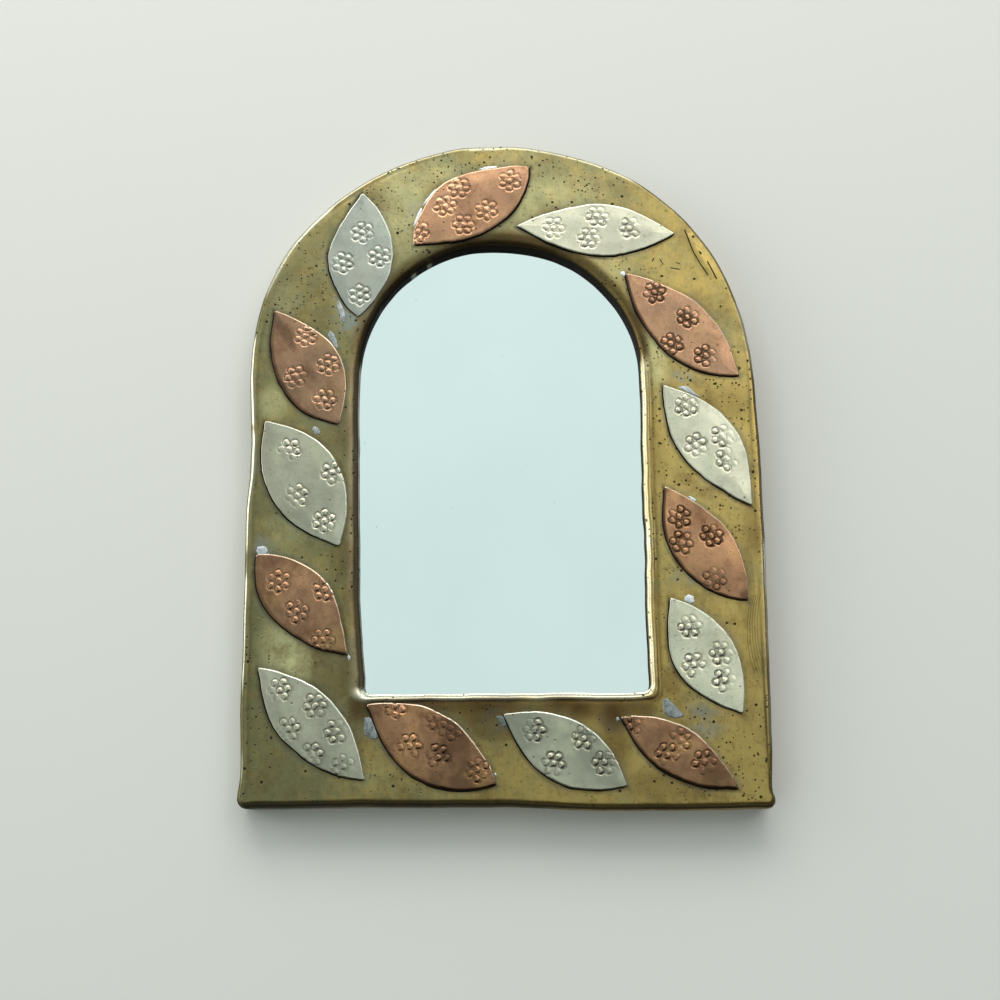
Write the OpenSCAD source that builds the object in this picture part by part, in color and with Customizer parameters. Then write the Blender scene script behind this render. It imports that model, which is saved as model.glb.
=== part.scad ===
// Arched wall mirror: a sheet-brass frame with fourteen stamped copper and nickel-silver leaves soldered on,
// a mirror behind its rolled lip, a back board held by bent clips, and a D-ring hanger.
//
// The model is drawn lying down: x to the right, y up the frame from its base, z out of the wall.
// Each sub-part is then stood up, so that the wall is the plane y = 0 and the face looks along -y.

/* [Frame] */
// Width across the straight sides
frame_w = 153; // [150:1:160]
// Height of the straight sides, up to where the arch starts
side_h = 127.5; // [124:0.5:136]
// Depth from the wall to the front of the brass face
frame_depth = 12; // [12:0.5:16]
// Thickness of the sheet brass
sheet_t = 0.6; // [0.4:0.1:0.8]
// Outside radius of the rolled outer edge
edge_roll_r = 1.8; // [1.2:0.1:2.4]
// Radius of the two lower corners, seen from the front
corner_r = 3; // [2.6:0.2:6]
// Height of the hem that is folded inside the rear edge
hem_h = 2.4; // [1.5:0.1:2.6]
// Rounding of the hem where it meets the wall
hem_round_r = 0.2; // [0.1:0.05:0.3]

/* [Opening] */
// Width of the opening inside the lip
open_w = 86; // [82:1:90]
// Sideways place of the opening's middle
open_x = -1; // [-2:0.5:2]
// Height of the sill of the opening above the base
sill_h = 32.4; // [31:0.2:36]
// Height above the base at which the arch of the opening starts
open_spring_h = 129.7; // [124:0.1:131]
// Radius of the opening's two lower corners
open_corner_r = 2.3; // [1:0.1:5]
// Outside radius of the rolled lip
lip_roll_r = 2.4; // [1.2:0.1:3.4]
// Depth from the brass face to the front of the glass
glass_setback = 4.4; // [3.6:0.1:4.4]

/* [Mirror] */
// Thickness of the glass
glass_t = 2; // [1.5:0.1:2]
// How far the glass reaches behind the lip
glass_lap = 4; // [2:0.5:6]
// Thickness of the reflective coating and its paint
coating_t = 0.1; // [0.05:0.05:0.1]
// Thickness of the packing card
card_t = 0.6; // [0.3:0.1:0.6]

/* [Back] */
// Thickness of the back board
board_t = 2; // [1.5:0.1:2]
// Gap between the back board and the hem
board_gap = 0.4; // [0.2:0.1:1]
// Width of a board clip
clip_w = 6; // [4:0.5:8]
// Thickness of a board clip
clip_t = 0.5; // [0.3:0.1:0.6]
// Reach of a board clip over the board
clip_reach = 6; // [4:0.5:8]

/* [Leaves] */
// Thickness of a leaf
leaf_t = 0.5; // [0.4:0.1:0.8]
// Distance from the middle of a stamped flower to its petals
petal_ring_r = 2.3; // [2.1:0.1:2.6]
// Radius of one raised petal at its foot
petal_r = 0.95; // [0.8:0.05:1]
// Height of a petal above the sunken ground round it
petal_h = 0.32; // [0.2:0.02:0.4]
// Radius of the sunken ground round one petal
ground_r = 1.25; // [1.2:0.05:1.4]
// Depth of the sunken ground
ground_depth = 0.15; // [0.1:0.01:0.2]
// Height of a solder patch above the brass
solder_h = 0.25; // [0.15:0.05:0.4]
// Size of a solder patch at its top, as a share of its size at the foot
solder_taper = 0.7; // [0.5:0.05:0.95]

/* [Hanger] */
// Distance of the ring's axis below the top of the arch
ring_drop = 14; // [13:0.5:16]
// Diameter of the ring's wire
wire_d = 1.4; // [1:0.1:1.4]
// Radius of the ring's bow, to the middle of its wire
bow_r = 8; // [7:0.5:9]
// Radius of the two corners between the bow and the bar
bow_corner_r = 1.5; // [1:0.1:2]
// Running clearance of the bar in the strap, on the radius
bar_clearance = 0.05; // [0.03:0.01:0.06]
// Thickness of the strap
strap_t = 0.6; // [0.4:0.1:0.6]
// Width of the strap
strap_w = 9; // [8:0.5:10]
// Length of the strap below the ring's axis
strap_len = 6.4; // [6:0.1:6.6]
// Radius of a rivet's shank
rivet_r = 0.9; // [0.7:0.1:1]
// Radius of a rivet's head
rivet_head_r = 1.3; // [1.2:0.1:1.4]
// Height of a rivet's head
rivet_head_h = 0.6; // [0.4:0.1:0.6]
// Gap round a rivet's shank, on the radius
rivet_gap = 0.05; // [0.02:0.01:0.08]
// Distance between the two rivets
rivet_pitch = 4.8; // [4:0.1:5]

/* [Hidden] */
$fn = 96;
tiny = 0.01;
half_w = frame_w / 2;
open_half_w = open_w / 2;
frame_h = side_h + half_w;
hem_t = 2 * sheet_t;
glass_front = frame_depth - glass_setback;
glass_back = glass_front - glass_t;
coating_back = glass_back - coating_t;
card_back = coating_back - card_t;
board_back = card_back - board_t;
barrel_bore_r = wire_d / 2 + bar_clearance;
barrel_r = barrel_bore_r + strap_t;
ring_axis_y = frame_h - ring_drop;
ring_axis_z = board_back - barrel_r;
rivet_y = ring_axis_y - (barrel_r + strap_len) / 2;
left_mid = (half_w - open_x + open_half_w) / 2;
right_mid = (half_w + open_x + open_half_w) / 2;
arch_mid = (half_w + open_half_w) / 2;

// The leaves, clockwise from the upper left. Each has its metal, the side of the border that it lies on, its
// place along that side, how far it lies outside the middle of the border, the turn of its long axis, its
// length, and its bulge to the left and to the right of that axis. The place is an angle on the arch, a share
// of side_h on the two sides, and a share of half_w on the base.
LEAVES = [
    ["nickel", "arch", 136.8, 0.7, -91, 41.4, 10.3, 10.4],
    ["copper", "arch", 99.2, -1.5, 35.5, 45, 12, 10.2],
    ["nickel", "arch", 59, -2.5, -3.4, 49.5, 9, 8.5],
    ["copper", "arch", 17.5, -1.8, -45, 48, 8.6, 9.5],
    ["nickel", "right", 0.834, 2.2, -56.5, 45.5, 10.3, 8.2],
    ["copper", "right", 0.597, 0.7, -56, 42, 8.1, 10.2],
    ["nickel", "right", 0.335, -0.7, -60, 39.3, 9.1, 9.4],
    ["copper", "base", 0.649, 1.5, -32, 39, 7.5, 6.8],
    ["nickel", "base", 0.22, 0.4, -30.3, 40.8, 8.8, 9.1],
    ["copper", "base", -0.282, -1.5, -31.7, 44, 9.1, 10.6],
    ["nickel", "base", -0.737, -7.8, -46, 45.2, 8.4, 9.2],
    ["copper", "left", 0.461, -0.3, -47.6, 40.6, 10, 9],
    ["nickel", "left", 0.749, 0.4, -59.2, 45.2, 12, 10],
    ["copper", "left", 1.036, -0.2, -61.2, 42, 10.6, 9.6]
];

// The flowers stamped in each leaf: place along and across its long axis, and the turn of the punch.
STAMPS = [
    [[-7.5, 0, 10], [3, -5, 35], [1, 5.5, 20], [13.5, 0, 5]],
    [[-0.5, 8, 15], [-6.5, 5, 40], [3, -4, 5], [-6, -3, 25], [-18.5, 3, 10], [15.5, 0, 50]],
    [[-14, -0.5, 0], [0, 4.5, 45], [-3, -3, 20], [9.5, 0, 35]],
    [[-13.5, 1.5, 30], [0, 2.5, 10], [1.5, -7, 50], [12, -2, 25]],
    [[-13.5, 2, 15], [-3, -3.5, 40], [0.5, 4.5, 5], [5.5, 0.5, 30]],
    [[-11.5, -1.5, 20], [-5, -5.5, 45], [-1.5, 3, 10], [9, -4, 35]],
    [[-10, 0.5, 30], [1, 3, 5], [-1, -4.5, 50], [8, -0.5, 20]],
    [[-15, 1, 10], [-3, -2, 25], [-2, 3, 55], [7.5, 1, 40]],
    [[-10.5, 0.5, 5], [-1, -4, 30], [3, 5.5, 45], [10.5, 2, 20]],
    [[-14.5, 3.5, 15], [1, 7.5, 0], [-5.5, -3.5, 35], [3.5, -2.5, 20], [15, 0, 50]],
    [[-13.5, 0.5, 25], [-3, 4, 5], [-3.5, -5.5, 40], [5.5, 3, 15], [6, -5.5, 30], [13.5, -2, 55]],
    [[-9.5, -1, 20], [1, 7.5, 35], [0.5, -3, 10], [12.5, -2.5, 45]],
    [[-11.5, 2, 50], [1.5, 9.5, 15], [2, -2.5, 30], [13, 0, 5]],
    [[-10, 4, 25], [1.5, 6, 40], [1, -5, 10], [11.5, 0.5, 55]]
];

// The solder that ran out from under the leaves: the number of the leaf, place along and across its long
// axis, and the radius of the patch.
SOLDER = [
    [1, 17, -5.5, 2.2], [1, 20.5, -4, 1.6],
    [2, -19, 5.6, 1.6], [2, -14, 9.5, 1.7], [2, -4, 12.2, 1.6], [2, 5, 11.8, 1.6],
    [4, -24, 0.4, 1.2],
    [5, -13.5, 7.2, 2.2], [5, -10, 9, 1.7],
    [6, -12, 6.5, 1.3],
    [7, -15.5, 5, 1.8],
    [8, -8.8, 9.4, 2.6], [8, -9.4, 12.6, 2], [8, -19.5, 0.8, 1],
    [9, -20.8, -2, 1.8],
    [10, -17, -7.4, 2.6],
    [12, -20.5, 1.4, 1.7], [12, 20, 0.4, 0.8],
    [13, -16.5, 8.6, 1.8]
];

// A flat arched plate: straight sides, a half-circle on top and two rounded lower corners.
module arched_plate(half_width, spring_y, base_y, corner) {
    translate([0, spring_y]) circle(r = half_width);
    translate([-half_width, base_y + corner])
        square([2 * half_width, spring_y - base_y - corner]);
    translate([-half_width + corner, base_y])
        square([2 * (half_width - corner), corner]);
    for (side = [-1, 1])
        translate([side * (half_width - corner), base_y + corner]) circle(r = corner);
}

// Carries the profile given as a child round the same arched outline. The profile's x is the distance
// outwards from the outline, and its y is the height above the wall.
module arched_sweep(half_width, spring_y, base_y, corner) {
    translate([0, spring_y])
        rotate_extrude(angle = 180) translate([half_width, 0]) children();
    for (side = [0, 1]) mirror([side, 0, 0]) {
        translate([half_width, spring_y]) rotate([90, 0, 0])
            linear_extrude(spring_y - base_y - corner) children();
        translate([half_width - corner, base_y + corner]) rotate([0, 0, -90])
            rotate_extrude(angle = 90) translate([corner, 0]) children();
    }
    translate([half_width - corner, base_y]) rotate([0, 0, -90]) rotate([90, 0, 0])
        linear_extrude(2 * (half_width - corner)) children();
}

// The frame's outline, drawn in by a distance.
module frame_outline(inset) {
    arched_plate(half_w - inset, side_h, inset, corner_r - inset);
}

// The opening's outline, let out by a distance.
module opening_outline(outset) {
    translate([open_x, 0])
        arched_plate(open_half_w + outset, open_spring_h, sill_h - outset, open_corner_r + outset);
}

// A quarter of a round bend in the sheet, about the point given, in the quadrant that the signs name.
module sheet_bend(radius, x_sign, y_sign) {
    intersection() {
        difference() {
            circle(r = radius);
            circle(r = radius - sheet_t);
        }
        translate([x_sign > 0 ? 0 : -radius, y_sign > 0 ? 0 : -radius]) square(radius);
    }
}

// Outer edge: the face rolls into the skirt, whose rear is folded inwards into a flat hem.
module edge_profile() {
    translate([-edge_roll_r, frame_depth - edge_roll_r]) sheet_bend(edge_roll_r, 1, 1);
    translate([-sheet_t, hem_round_r]) square([sheet_t, frame_depth - edge_roll_r - hem_round_r]);
    translate([-hem_t, hem_round_r]) square([hem_t, hem_h - hem_round_r]);
    translate([-hem_t + hem_round_r, 0]) square([hem_t - 2 * hem_round_r, hem_h]);
    translate([-hem_t + hem_round_r, hem_round_r]) circle(r = hem_round_r);
    translate([-hem_round_r, hem_round_r]) circle(r = hem_round_r);
}

// Inner edge: the face rolls down to the glass.
module lip_profile() {
    translate([lip_roll_r, frame_depth - lip_roll_r]) sheet_bend(lip_roll_r, -1, 1);
    translate([0, glass_front]) square([sheet_t, glass_setback - lip_roll_r]);
}

module brass_face() {
    color("#8f8248") upright() {
        translate([0, 0, frame_depth - sheet_t]) linear_extrude(sheet_t) difference() {
            frame_outline(edge_roll_r);
            opening_outline(lip_roll_r);
        }
        arched_sweep(half_w, side_h, 0, corner_r) edge_profile();
        translate([open_x, 0])
            arched_sweep(open_half_w, open_spring_h, sill_h, open_corner_r) lip_profile();
    }
}

// Stands a sub-part up and brings the middle of the back to the origin.
module upright() {
    translate([0, 0, -frame_h / 2]) rotate([90, 0, 0]) children();
}

// The middle of a leaf, on its side of the border.
function leaf_middle(leaf) =
    leaf[1] == "arch" ? [(arch_mid + leaf[3]) * cos(leaf[2]), side_h + (arch_mid + leaf[3]) * sin(leaf[2])] :
    leaf[1] == "right" ? [right_mid + leaf[3], leaf[2] * side_h] :
    leaf[1] == "left" ? [-left_mid - leaf[3], leaf[2] * side_h] :
    [leaf[2] * half_w, sill_h / 2 - leaf[3]];

// The radius of an arc that rises by a bulge over the length of a chord.
function arc_r(chord, bulge) = (chord * chord / 4 + bulge * bulge) / (2 * bulge);

// Puts a child drawn along a leaf's own axis where that leaf lies.
module on_leaf(leaf) {
    middle = leaf_middle(leaf);
    translate([middle.x, middle.y, frame_depth]) rotate([0, 0, leaf[4]]) children();
}

// A leaf's outline: the space that two arcs share, pointed at both ends.
module leaf_outline(leaf) {
    left_r = arc_r(leaf[5], leaf[6]);
    right_r = arc_r(leaf[5], leaf[7]);
    intersection() {
        translate([0, leaf[6] - left_r]) circle(r = left_r);
        translate([0, right_r - leaf[7]]) circle(r = right_r);
    }
}

// The seven places of a flower's petals: one in the middle and six round it.
function petal_places(stamp) = [
    for (petal = [0:6])
        let (ring = petal == 0 ? 0 : petal_ring_r, turn = stamp[2] + 60 * petal)
            [stamp[0] + ring * cos(turn), stamp[1] + ring * sin(turn)]
];

// One leaf, struck with its flowers: round petals stand up from a sunken ground.
module leaf(number) {
    leaf = LEAVES[number - 1];
    ground = leaf_t - ground_depth;
    petal_sphere_r = arc_r(2 * petal_r, petal_h);
    color(leaf[0] == "copper" ? "#b0714f" : "#b9bca6") upright() on_leaf(leaf) intersection() {
        linear_extrude(leaf_t + petal_h) leaf_outline(leaf);
        union() {
            difference() {
                linear_extrude(leaf_t) leaf_outline(leaf);
                translate([0, 0, ground]) linear_extrude(leaf_t)
                    for (stamp = STAMPS[number - 1], place = petal_places(stamp))
                        translate(place) circle(r = ground_r);
            }
            for (stamp = STAMPS[number - 1], place = petal_places(stamp))
                translate([place.x, place.y, ground + petal_h - petal_sphere_r]) sphere(r = petal_sphere_r);
        }
    }
}

// The uneven outline of a solder patch: a polygon whose radius swells and shrinks round it.
function patch_points(radius, turn) = [
    for (corner = [0:11])
        let (angle = 30 * corner, swell = 1 + 0.16 * sin(2 * angle + turn) + 0.1 * sin(3 * angle - turn))
            radius * swell * [cos(angle), sin(angle)]
];

// Low solder patches on the brass, narrower at the top, each cut off where its leaf covers it.
module solder_patches() {
    color("#a9b0ab") upright() for (number = [0:len(SOLDER) - 1]) {
        patch = SOLDER[number];
        leaf = LEAVES[patch[0] - 1];
        on_leaf(leaf) difference() {
            translate([patch[1], patch[2]]) linear_extrude(solder_h, scale = solder_taper)
                polygon(patch_points(patch[3], 80 * number));
            translate([0, 0, -leaf_t]) linear_extrude(3 * leaf_t) leaf_outline(leaf);
        }
    }
}

// A flat sheet that lies behind the opening and laps over its edge.
module pane(front, thickness) {
    translate([0, 0, front - thickness]) linear_extrude(thickness) opening_outline(glass_lap);
}

module mirror_glass() {
    color("#cfe2e0") upright() pane(glass_front, glass_t);
}

module mirror_coating() {
    color("#5c4a45") upright() pane(glass_back, coating_t);
}

module packing_card() {
    color("#b59a73") upright() pane(coating_back, card_t);
}

// The two rivets' places.
module at_rivets() {
    for (side = [-1, 1]) translate([side * rivet_pitch / 2, rivet_y]) children();
}

module back_board() {
    color("#6b4a30") upright() difference() {
        translate([0, 0, board_back]) linear_extrude(board_t) frame_outline(hem_t + board_gap);
        at_rivets() translate([0, 0, board_back - tiny])
            cylinder(r = rivet_r + rivet_gap, h = board_t + 2 * tiny);
    }
}

// One bent clip at the hem, with its foot on the board. Its outer face is trimmed to the hem by the caller.
module board_clip() {
    translate([-clip_reach, -clip_w / 2, board_back - clip_t]) cube([2 * clip_reach, clip_w, clip_t]);
    translate([-clip_t, -clip_w / 2, hem_round_r])
        cube([clip_reach, clip_w, board_back - hem_round_r]);
}

// Eight clips, soldered to the hem: two to each side, two on the base and two on the arch.
module board_clips() {
    hem_x = half_w - hem_t;
    color("#9a8a4c") upright() intersection() {
        linear_extrude(board_back) frame_outline(hem_t);
        union() {
            for (turn = [0, 1], share = [0.25, 0.8])
                mirror([turn, 0]) translate([hem_x, share * side_h]) board_clip();
            for (turn = [45, 135])
                translate([0, side_h]) rotate([0, 0, turn]) translate([hem_x, 0]) board_clip();
            for (share = [-0.5, 0.5])
                translate([share * half_w, hem_t]) rotate([0, 0, -90]) board_clip();
        }
    }
}

// A cylinder along x on the ring's axis.
module axis_cylinder(radius, length) {
    translate([-length / 2, ring_axis_y, ring_axis_z]) rotate([0, 90, 0]) cylinder(r = radius, h = length);
}

// The strap: a flat tongue on the board, rolled into a barrel round the ring's bar.
module hanger_strap() {
    color("#9a8a4c") upright() difference() {
        union() {
            translate([-strap_w / 2, ring_axis_y - strap_len, board_back - strap_t])
                cube([strap_w, strap_len, strap_t]);
            axis_cylinder(barrel_r, strap_w);
        }
        axis_cylinder(barrel_bore_r, strap_w + 2 * tiny);
        at_rivets() translate([0, 0, board_back - strap_t - tiny])
            cylinder(r = rivet_r + rivet_gap, h = strap_t + 2 * tiny);
    }
}

// A low dome on the plane z = 0, turned from a fine arc because only a little of its sphere shows.
module dome(foot_r, height) {
    sphere_r = arc_r(2 * foot_r, height);
    rotate_extrude() intersection() {
        translate([0, height - sphere_r]) circle(r = sphere_r, $fn = 720);
        square([2 * foot_r, height]);
    }
}

module hanger_rivets() {
    color("#b3a05c") upright() at_rivets() {
        translate([0, 0, board_back - strap_t]) cylinder(r = rivet_r, h = board_t + strap_t);
        translate([0, 0, board_back + board_t]) dome(rivet_head_r, rivet_head_h);
        translate([0, 0, board_back - strap_t]) mirror([0, 0, 1]) dome(rivet_head_r, rivet_head_h);
    }
}

// The D-ring, hanging: a straight bar in the strap's barrel, two tight corners and a half-round bow.
module hanger_ring() {
    bar_half = bow_r - bow_corner_r;
    color("#b3a05c") upright() {
        axis_cylinder(wire_d / 2, 2 * bar_half);
        translate([0, ring_axis_y - bow_corner_r, ring_axis_z]) {
            rotate([0, 0, 180]) rotate_extrude(angle = 180) translate([bow_r, 0]) circle(d = wire_d);
            for (side = [0, 1]) mirror([side, 0, 0]) translate([bar_half, 0, 0])
                rotate_extrude(angle = 90) translate([bow_corner_r, 0]) circle(d = wire_d);
        }
    }
}

brass_face();
leaf(1);  // nickel_leaf_1
leaf(2);  // copper_leaf_2
leaf(3);  // nickel_leaf_3
leaf(4);  // copper_leaf_4
leaf(5);  // nickel_leaf_5
leaf(6);  // copper_leaf_6
leaf(7);  // nickel_leaf_7
leaf(8);  // copper_leaf_8
leaf(9);  // nickel_leaf_9
leaf(10);  // copper_leaf_10
leaf(11);  // nickel_leaf_11
leaf(12);  // copper_leaf_12
leaf(13);  // nickel_leaf_13
leaf(14);  // copper_leaf_14
solder_patches();
mirror_glass();
mirror_coating();
packing_card();
back_board();
board_clips();
hanger_strap();
hanger_rivets();
hanger_ring();
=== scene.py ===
import math
from collections import namedtuple

import bmesh
import bpy
import numpy as np
from mathutils import Matrix, Vector


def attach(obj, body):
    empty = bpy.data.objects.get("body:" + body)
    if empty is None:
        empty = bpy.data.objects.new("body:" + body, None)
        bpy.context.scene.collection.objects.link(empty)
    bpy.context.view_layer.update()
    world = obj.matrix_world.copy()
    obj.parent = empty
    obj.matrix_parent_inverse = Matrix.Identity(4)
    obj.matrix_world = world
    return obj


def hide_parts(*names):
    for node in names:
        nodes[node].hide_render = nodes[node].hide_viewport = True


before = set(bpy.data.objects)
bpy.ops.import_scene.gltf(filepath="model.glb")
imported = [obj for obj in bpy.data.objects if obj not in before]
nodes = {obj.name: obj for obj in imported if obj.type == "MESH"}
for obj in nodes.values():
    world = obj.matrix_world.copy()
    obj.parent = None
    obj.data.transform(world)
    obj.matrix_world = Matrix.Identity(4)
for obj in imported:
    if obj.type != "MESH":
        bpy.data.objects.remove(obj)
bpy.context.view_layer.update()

# A brass wall mirror. The frame's sheet, its struck leaves, the solder, the clips and the strap are meshes
# made here in place of their nodes. The glass, coating, card, board, rivets and ring are the part's own
# nodes, which only get their materials here.

# Sizes of the CAD part, in millimetres. The frame is drawn lying down: x to the right, up the frame from its
# base, and out of the wall.
MM = 0.001
HALF_W = 76.5
SIDE_H = 127.5
FRAME_H = 204
FACE = 12
SHEET = 0.6
CORNER_R = 3
HEM_T = 1.2
HEM_H = 2.4
OPEN_HALF_W = 43
OPEN_X = -1
SILL_H = 32.4
OPEN_SPRING_H = 129.7
OPEN_CORNER_R = 2.3
GLASS_FRONT = 7.6
BOARD_BACK = 2.9
LEAF_T = 0.5
FLOWER_RING = 2.46
DOME_R = 1.02
DOME_H = 0.28
STRUCK_DEPTH = 0.15
RING_AXIS_UP = 190
RING_AXIS_OUT = 1.55
STRAP_T = 0.6
STRAP_W = 9
STRAP_LEN = 6.4
BARREL_R = 0.75
CLIP_T = 0.5

# The leaves, clockwise from the upper left: metal, side of the border, place along it, distance outside the
# middle of the border, turn of the long axis, length, and the bulge to the left and right of that axis. The
# place is in degrees round the arch, or a share of the sides' height or of half the base.
Leaf = namedtuple("Leaf", "metal side place out turn length left_bulge right_bulge")
LEAVES = [
    Leaf("nickel", "arch", 136.8, 0.7, -91, 41.4, 10.3, 10.4),
    Leaf("copper", "arch", 99.2, -1.5, 35.5, 45, 12, 10.2),
    Leaf("nickel", "arch", 59, -2.5, -3.4, 49.5, 9, 8.5),
    Leaf("copper", "arch", 17.5, -1.8, -45, 48, 8.6, 9.5),
    Leaf("nickel", "right", 0.834, 2.2, -56.5, 45.5, 10.3, 8.2),
    Leaf("copper", "right", 0.597, 0.7, -56, 42, 8.1, 10.2),
    Leaf("nickel", "right", 0.335, -0.7, -60, 39.3, 9.1, 9.4),
    Leaf("copper", "base", 0.649, 1.5, -32, 39, 7.5, 6.8),
    Leaf("nickel", "base", 0.22, 0.4, -30.3, 40.8, 8.8, 9.1),
    Leaf("copper", "base", -0.282, -1.5, -31.7, 44, 9.1, 10.6),
    Leaf("nickel", "base", -0.737, -7.8, -46, 45.2, 8.4, 9.2),
    Leaf("copper", "left", 0.461, -0.3, -47.6, 40.6, 10, 9),
    Leaf("nickel", "left", 0.749, 0.4, -59.2, 45.2, 12, 10),
    Leaf("copper", "left", 1.036, -0.2, -61.2, 42, 10.6, 9.6),
]

# How far each leaf's cut edge stands outside its two arcs: at eight places along it, first on the left of its
# long axis and then on the right.
CUTS = [
    [(-0.1, -0.3, -0.2, -0.1, -0.1, -0.2, -0.7, -0.4), (-1.4, -2.2, -1.7, -0.8, -0.2, -0.5, -0.6, 0.1)],
    [(0.3, -0.6, -0.3, -0.3, -1.3, -2.1, -2.6, -1), (-1.1, -1.7, -1, -0.5, -0.1, 0.4, 0.5, 0.6)],
    [(-0.4, -1, -1.1, -0.5, -0.2, -0.1, -0.6, -0.6), (-0.6, -0.8, -0.5, 0, 0.4, 0.2, -0.1, 0)],
    [(-0.4, -0.8, -0.7, -0.1, -0.2, -0.2, -0.3, -0.4), (-0.4, -0.4, -0.2, 0.1, 0.6, 0.8, 0.8, 0.4)],
    [(-0.7, -0.8, -0.4, -0.3, -0.3, -0.6, -1.3, -0.9), (-0.2, -0.3, 0.1, 0.1, -0.2, -0.6, -1.2, -0.3)],
    [(-0.6, -1.2, -1.2, -0.6, -0.2, -0.4, -0.4, -0.4), (-0.7, -0.4, 0, 0.1, 0.1, 0, 0.1, 0.2)],
    [(-0.4, -0.5, -0.5, -0.4, -0.3, -0.6, -0.7, -0.5), (-0.6, -0.8, -0.1, 0.4, 0.3, -0.2, -0.7, -0.7)],
    [(-0.1, -0.2, -0.2, -0.1, -0.2, -0.7, -0.8, -0.1), (-0.4, -0.1, 0.1, 0.2, 0, -0.1, -0.2, -0.5)],
    [(-0.4, -0.4, -0.3, -0.1, 0.1, 0.1, 0, -0.3), (-0.7, -0.7, -0.3, 0.1, 0.2, 0.1, -0.2, -0.2)],
    [(-0.3, -0.6, 0, -0.2, 0, -0.5, -0.7, -0.1), (-1.1, -1.1, -0.6, -0.2, 0.1, 0.1, -0.1, -0.1)],
    [(-0.2, -0.3, 0.1, 0.3, -0.1, 0.1, -0.4, -0.4), (-0.7, -0.6, 0, -0.1, -0.7, -0.4, -0.4, -0.2)],
    [(0, 0, -0.2, -0.2, -0.3, -1.3, -1.8, -1.2), (0.1, 0.5, 0.6, 0, -0.6, -0.9, -0.7, -0.6)],
    [(-0.5, -0.2, 0.1, 0.2, 0.1, -0.2, -0.6, -0.7), (-0.6, -0.5, -0.2, -0.1, 0, -0.1, -0.6, -0.6)],
    [(-0.9, -1.4, -0.9, -0.1, 0.1, 0, -0.4, -0.5), (-1, -0.9, -0.6, -0.2, 0.1, 0.5, 0.7, 0)],
]

# The flowers stamped in each leaf: place along and across its long axis, turn of the punch, depth, how much
# deeper one side went, and that side in degrees.
STAMPS = [
    [(-7.3, 0.3, 11, 0.75, 0.35, 240), (0.7, 5.8, 10, 0.95, 0.5, 330), (2.9, -5.6, 10, 1, 0.8, 90),
     (13.5, 0.1, 6, 1.05, 0.2, 180)],
    [(0.3, 7.2, 15, 0.9, 0.2, 270), (-7, 4.7, 40, 0.9, 0.3, 200), (2.7, -4, 5, 1.1, 0, 0),
     (-6, -3.8, 25, 1.1, 0, 0), (-18.8, 2.7, 10, 1.1, 0.5, 240), (14.6, -0.3, 50, 0.9, 0.4, 200)],
    [(-13.2, -0.2, 0, 0.75, 0.2, 90), (0.3, 4.3, 3, 0.9, 0.6, 215), (-2, -3.1, 0, 0.85, 0.3, 180),
     (10.8, 1, 8, 0.9, 0.9, 200)],
    [(-13, 1.5, 55, 1.05, 0.3, 20), (-0.2, 2.7, 12, 1, 0.6, 270), (2.2, -7, 22, 0.95, 0.2, 60),
     (12.2, -2.5, 15, 0.9, 0.6, 230)],
    [(-13.4, 1.7, 26, 0.95, 0.2, 0), (0.5, 5.3, 21, 0.85, 0.7, 260), (-1.8, -3, 20, 1, 0.5, 180),
     (7, 2.2, 25, 0.55, 0.9, 255)],
    [(-10.8, -2.1, 20, 1, 0.4, 60), (-4.2, -6.1, 45, 0.9, 0.4, 200), (-0.8, 2.5, 10, 1.05, 0.3, 270),
     (10, -4.5, 35, 0.5, 0.4, 300)],
    [(-9.6, 0.2, 6, 1, 0.4, 300), (1.7, 3.9, 3, 0.9, 0.7, 245), (0.8, -4.7, 7, 0.95, 0.8, 190),
     (9, 0.4, 12, 0.8, 0.8, 225)],
    [(-15, 0.9, 10, 0.6, 0.8, 200), (-2.7, -2.5, 25, 0.8, 0.7, 140), (-1.8, 3, 55, 0.6, 0.7, 60),
     (7.5, 1.2, 40, 0.75, 0.6, 150)],
    [(-10.6, 0.4, 27, 0.85, 0.6, 0), (-1, -5.2, 21, 1, 0.6, 90), (3, 5.6, 20, 0.9, 0.3, 230),
     (11.5, 2.3, 29, 0.9, 0.5, 235)],
    [(-15, 3.5, 15, 1.1, 0.5, 60), (2.3, 6.4, 0, 0.6, 0.5, 250), (-2.7, 7, 30, 0.5, 0.4, 270),
     (-5.2, -3.8, 35, 0.9, 0.7, 110), (3.5, -2.1, 20, 0.9, 0.6, 110), (15.1, 0.6, 55, 0.85, 0.2, 120)],
    [(-13.4, 0.1, 54, 0.8, 0.5, 90), (-2.8, 4.2, 51, 0.95, 0.2, 200), (-3.3, -5.8, 53, 0.75, 0.6, 90),
     (6.8, 3.6, 54, 0.85, 0.5, 270), (6.8, -5.9, 53, 0.7, 0.7, 90), (15.5, -1.8, 20, 0.5, 0.9, 180)],
    [(-9.7, -0.5, 20, 0.9, 0.2, 0), (1.5, 7.9, 35, 1.15, 0.3, 270), (0.8, -2.5, 10, 1, 0.3, 250),
     (12.3, -2.6, 45, 0.85, 0.3, 200)],
    [(-10.8, 1.8, 50, 0.9, 0.9, 110), (2.2, 9.5, 18, 0.95, 0.2, 200), (2.7, -3.2, 20, 0.85, 0.6, 110),
     (13.7, 0, 23, 1, 0.3, 200)],
    [(-9, 4.4, 25, 1, 0.3, 60), (2.5, 6, 40, 1, 0.3, 200), (1.3, -4.3, 10, 0.85, 0.5, 230),
     (12, 0, 55, 1, 0, 0)],
]

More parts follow.
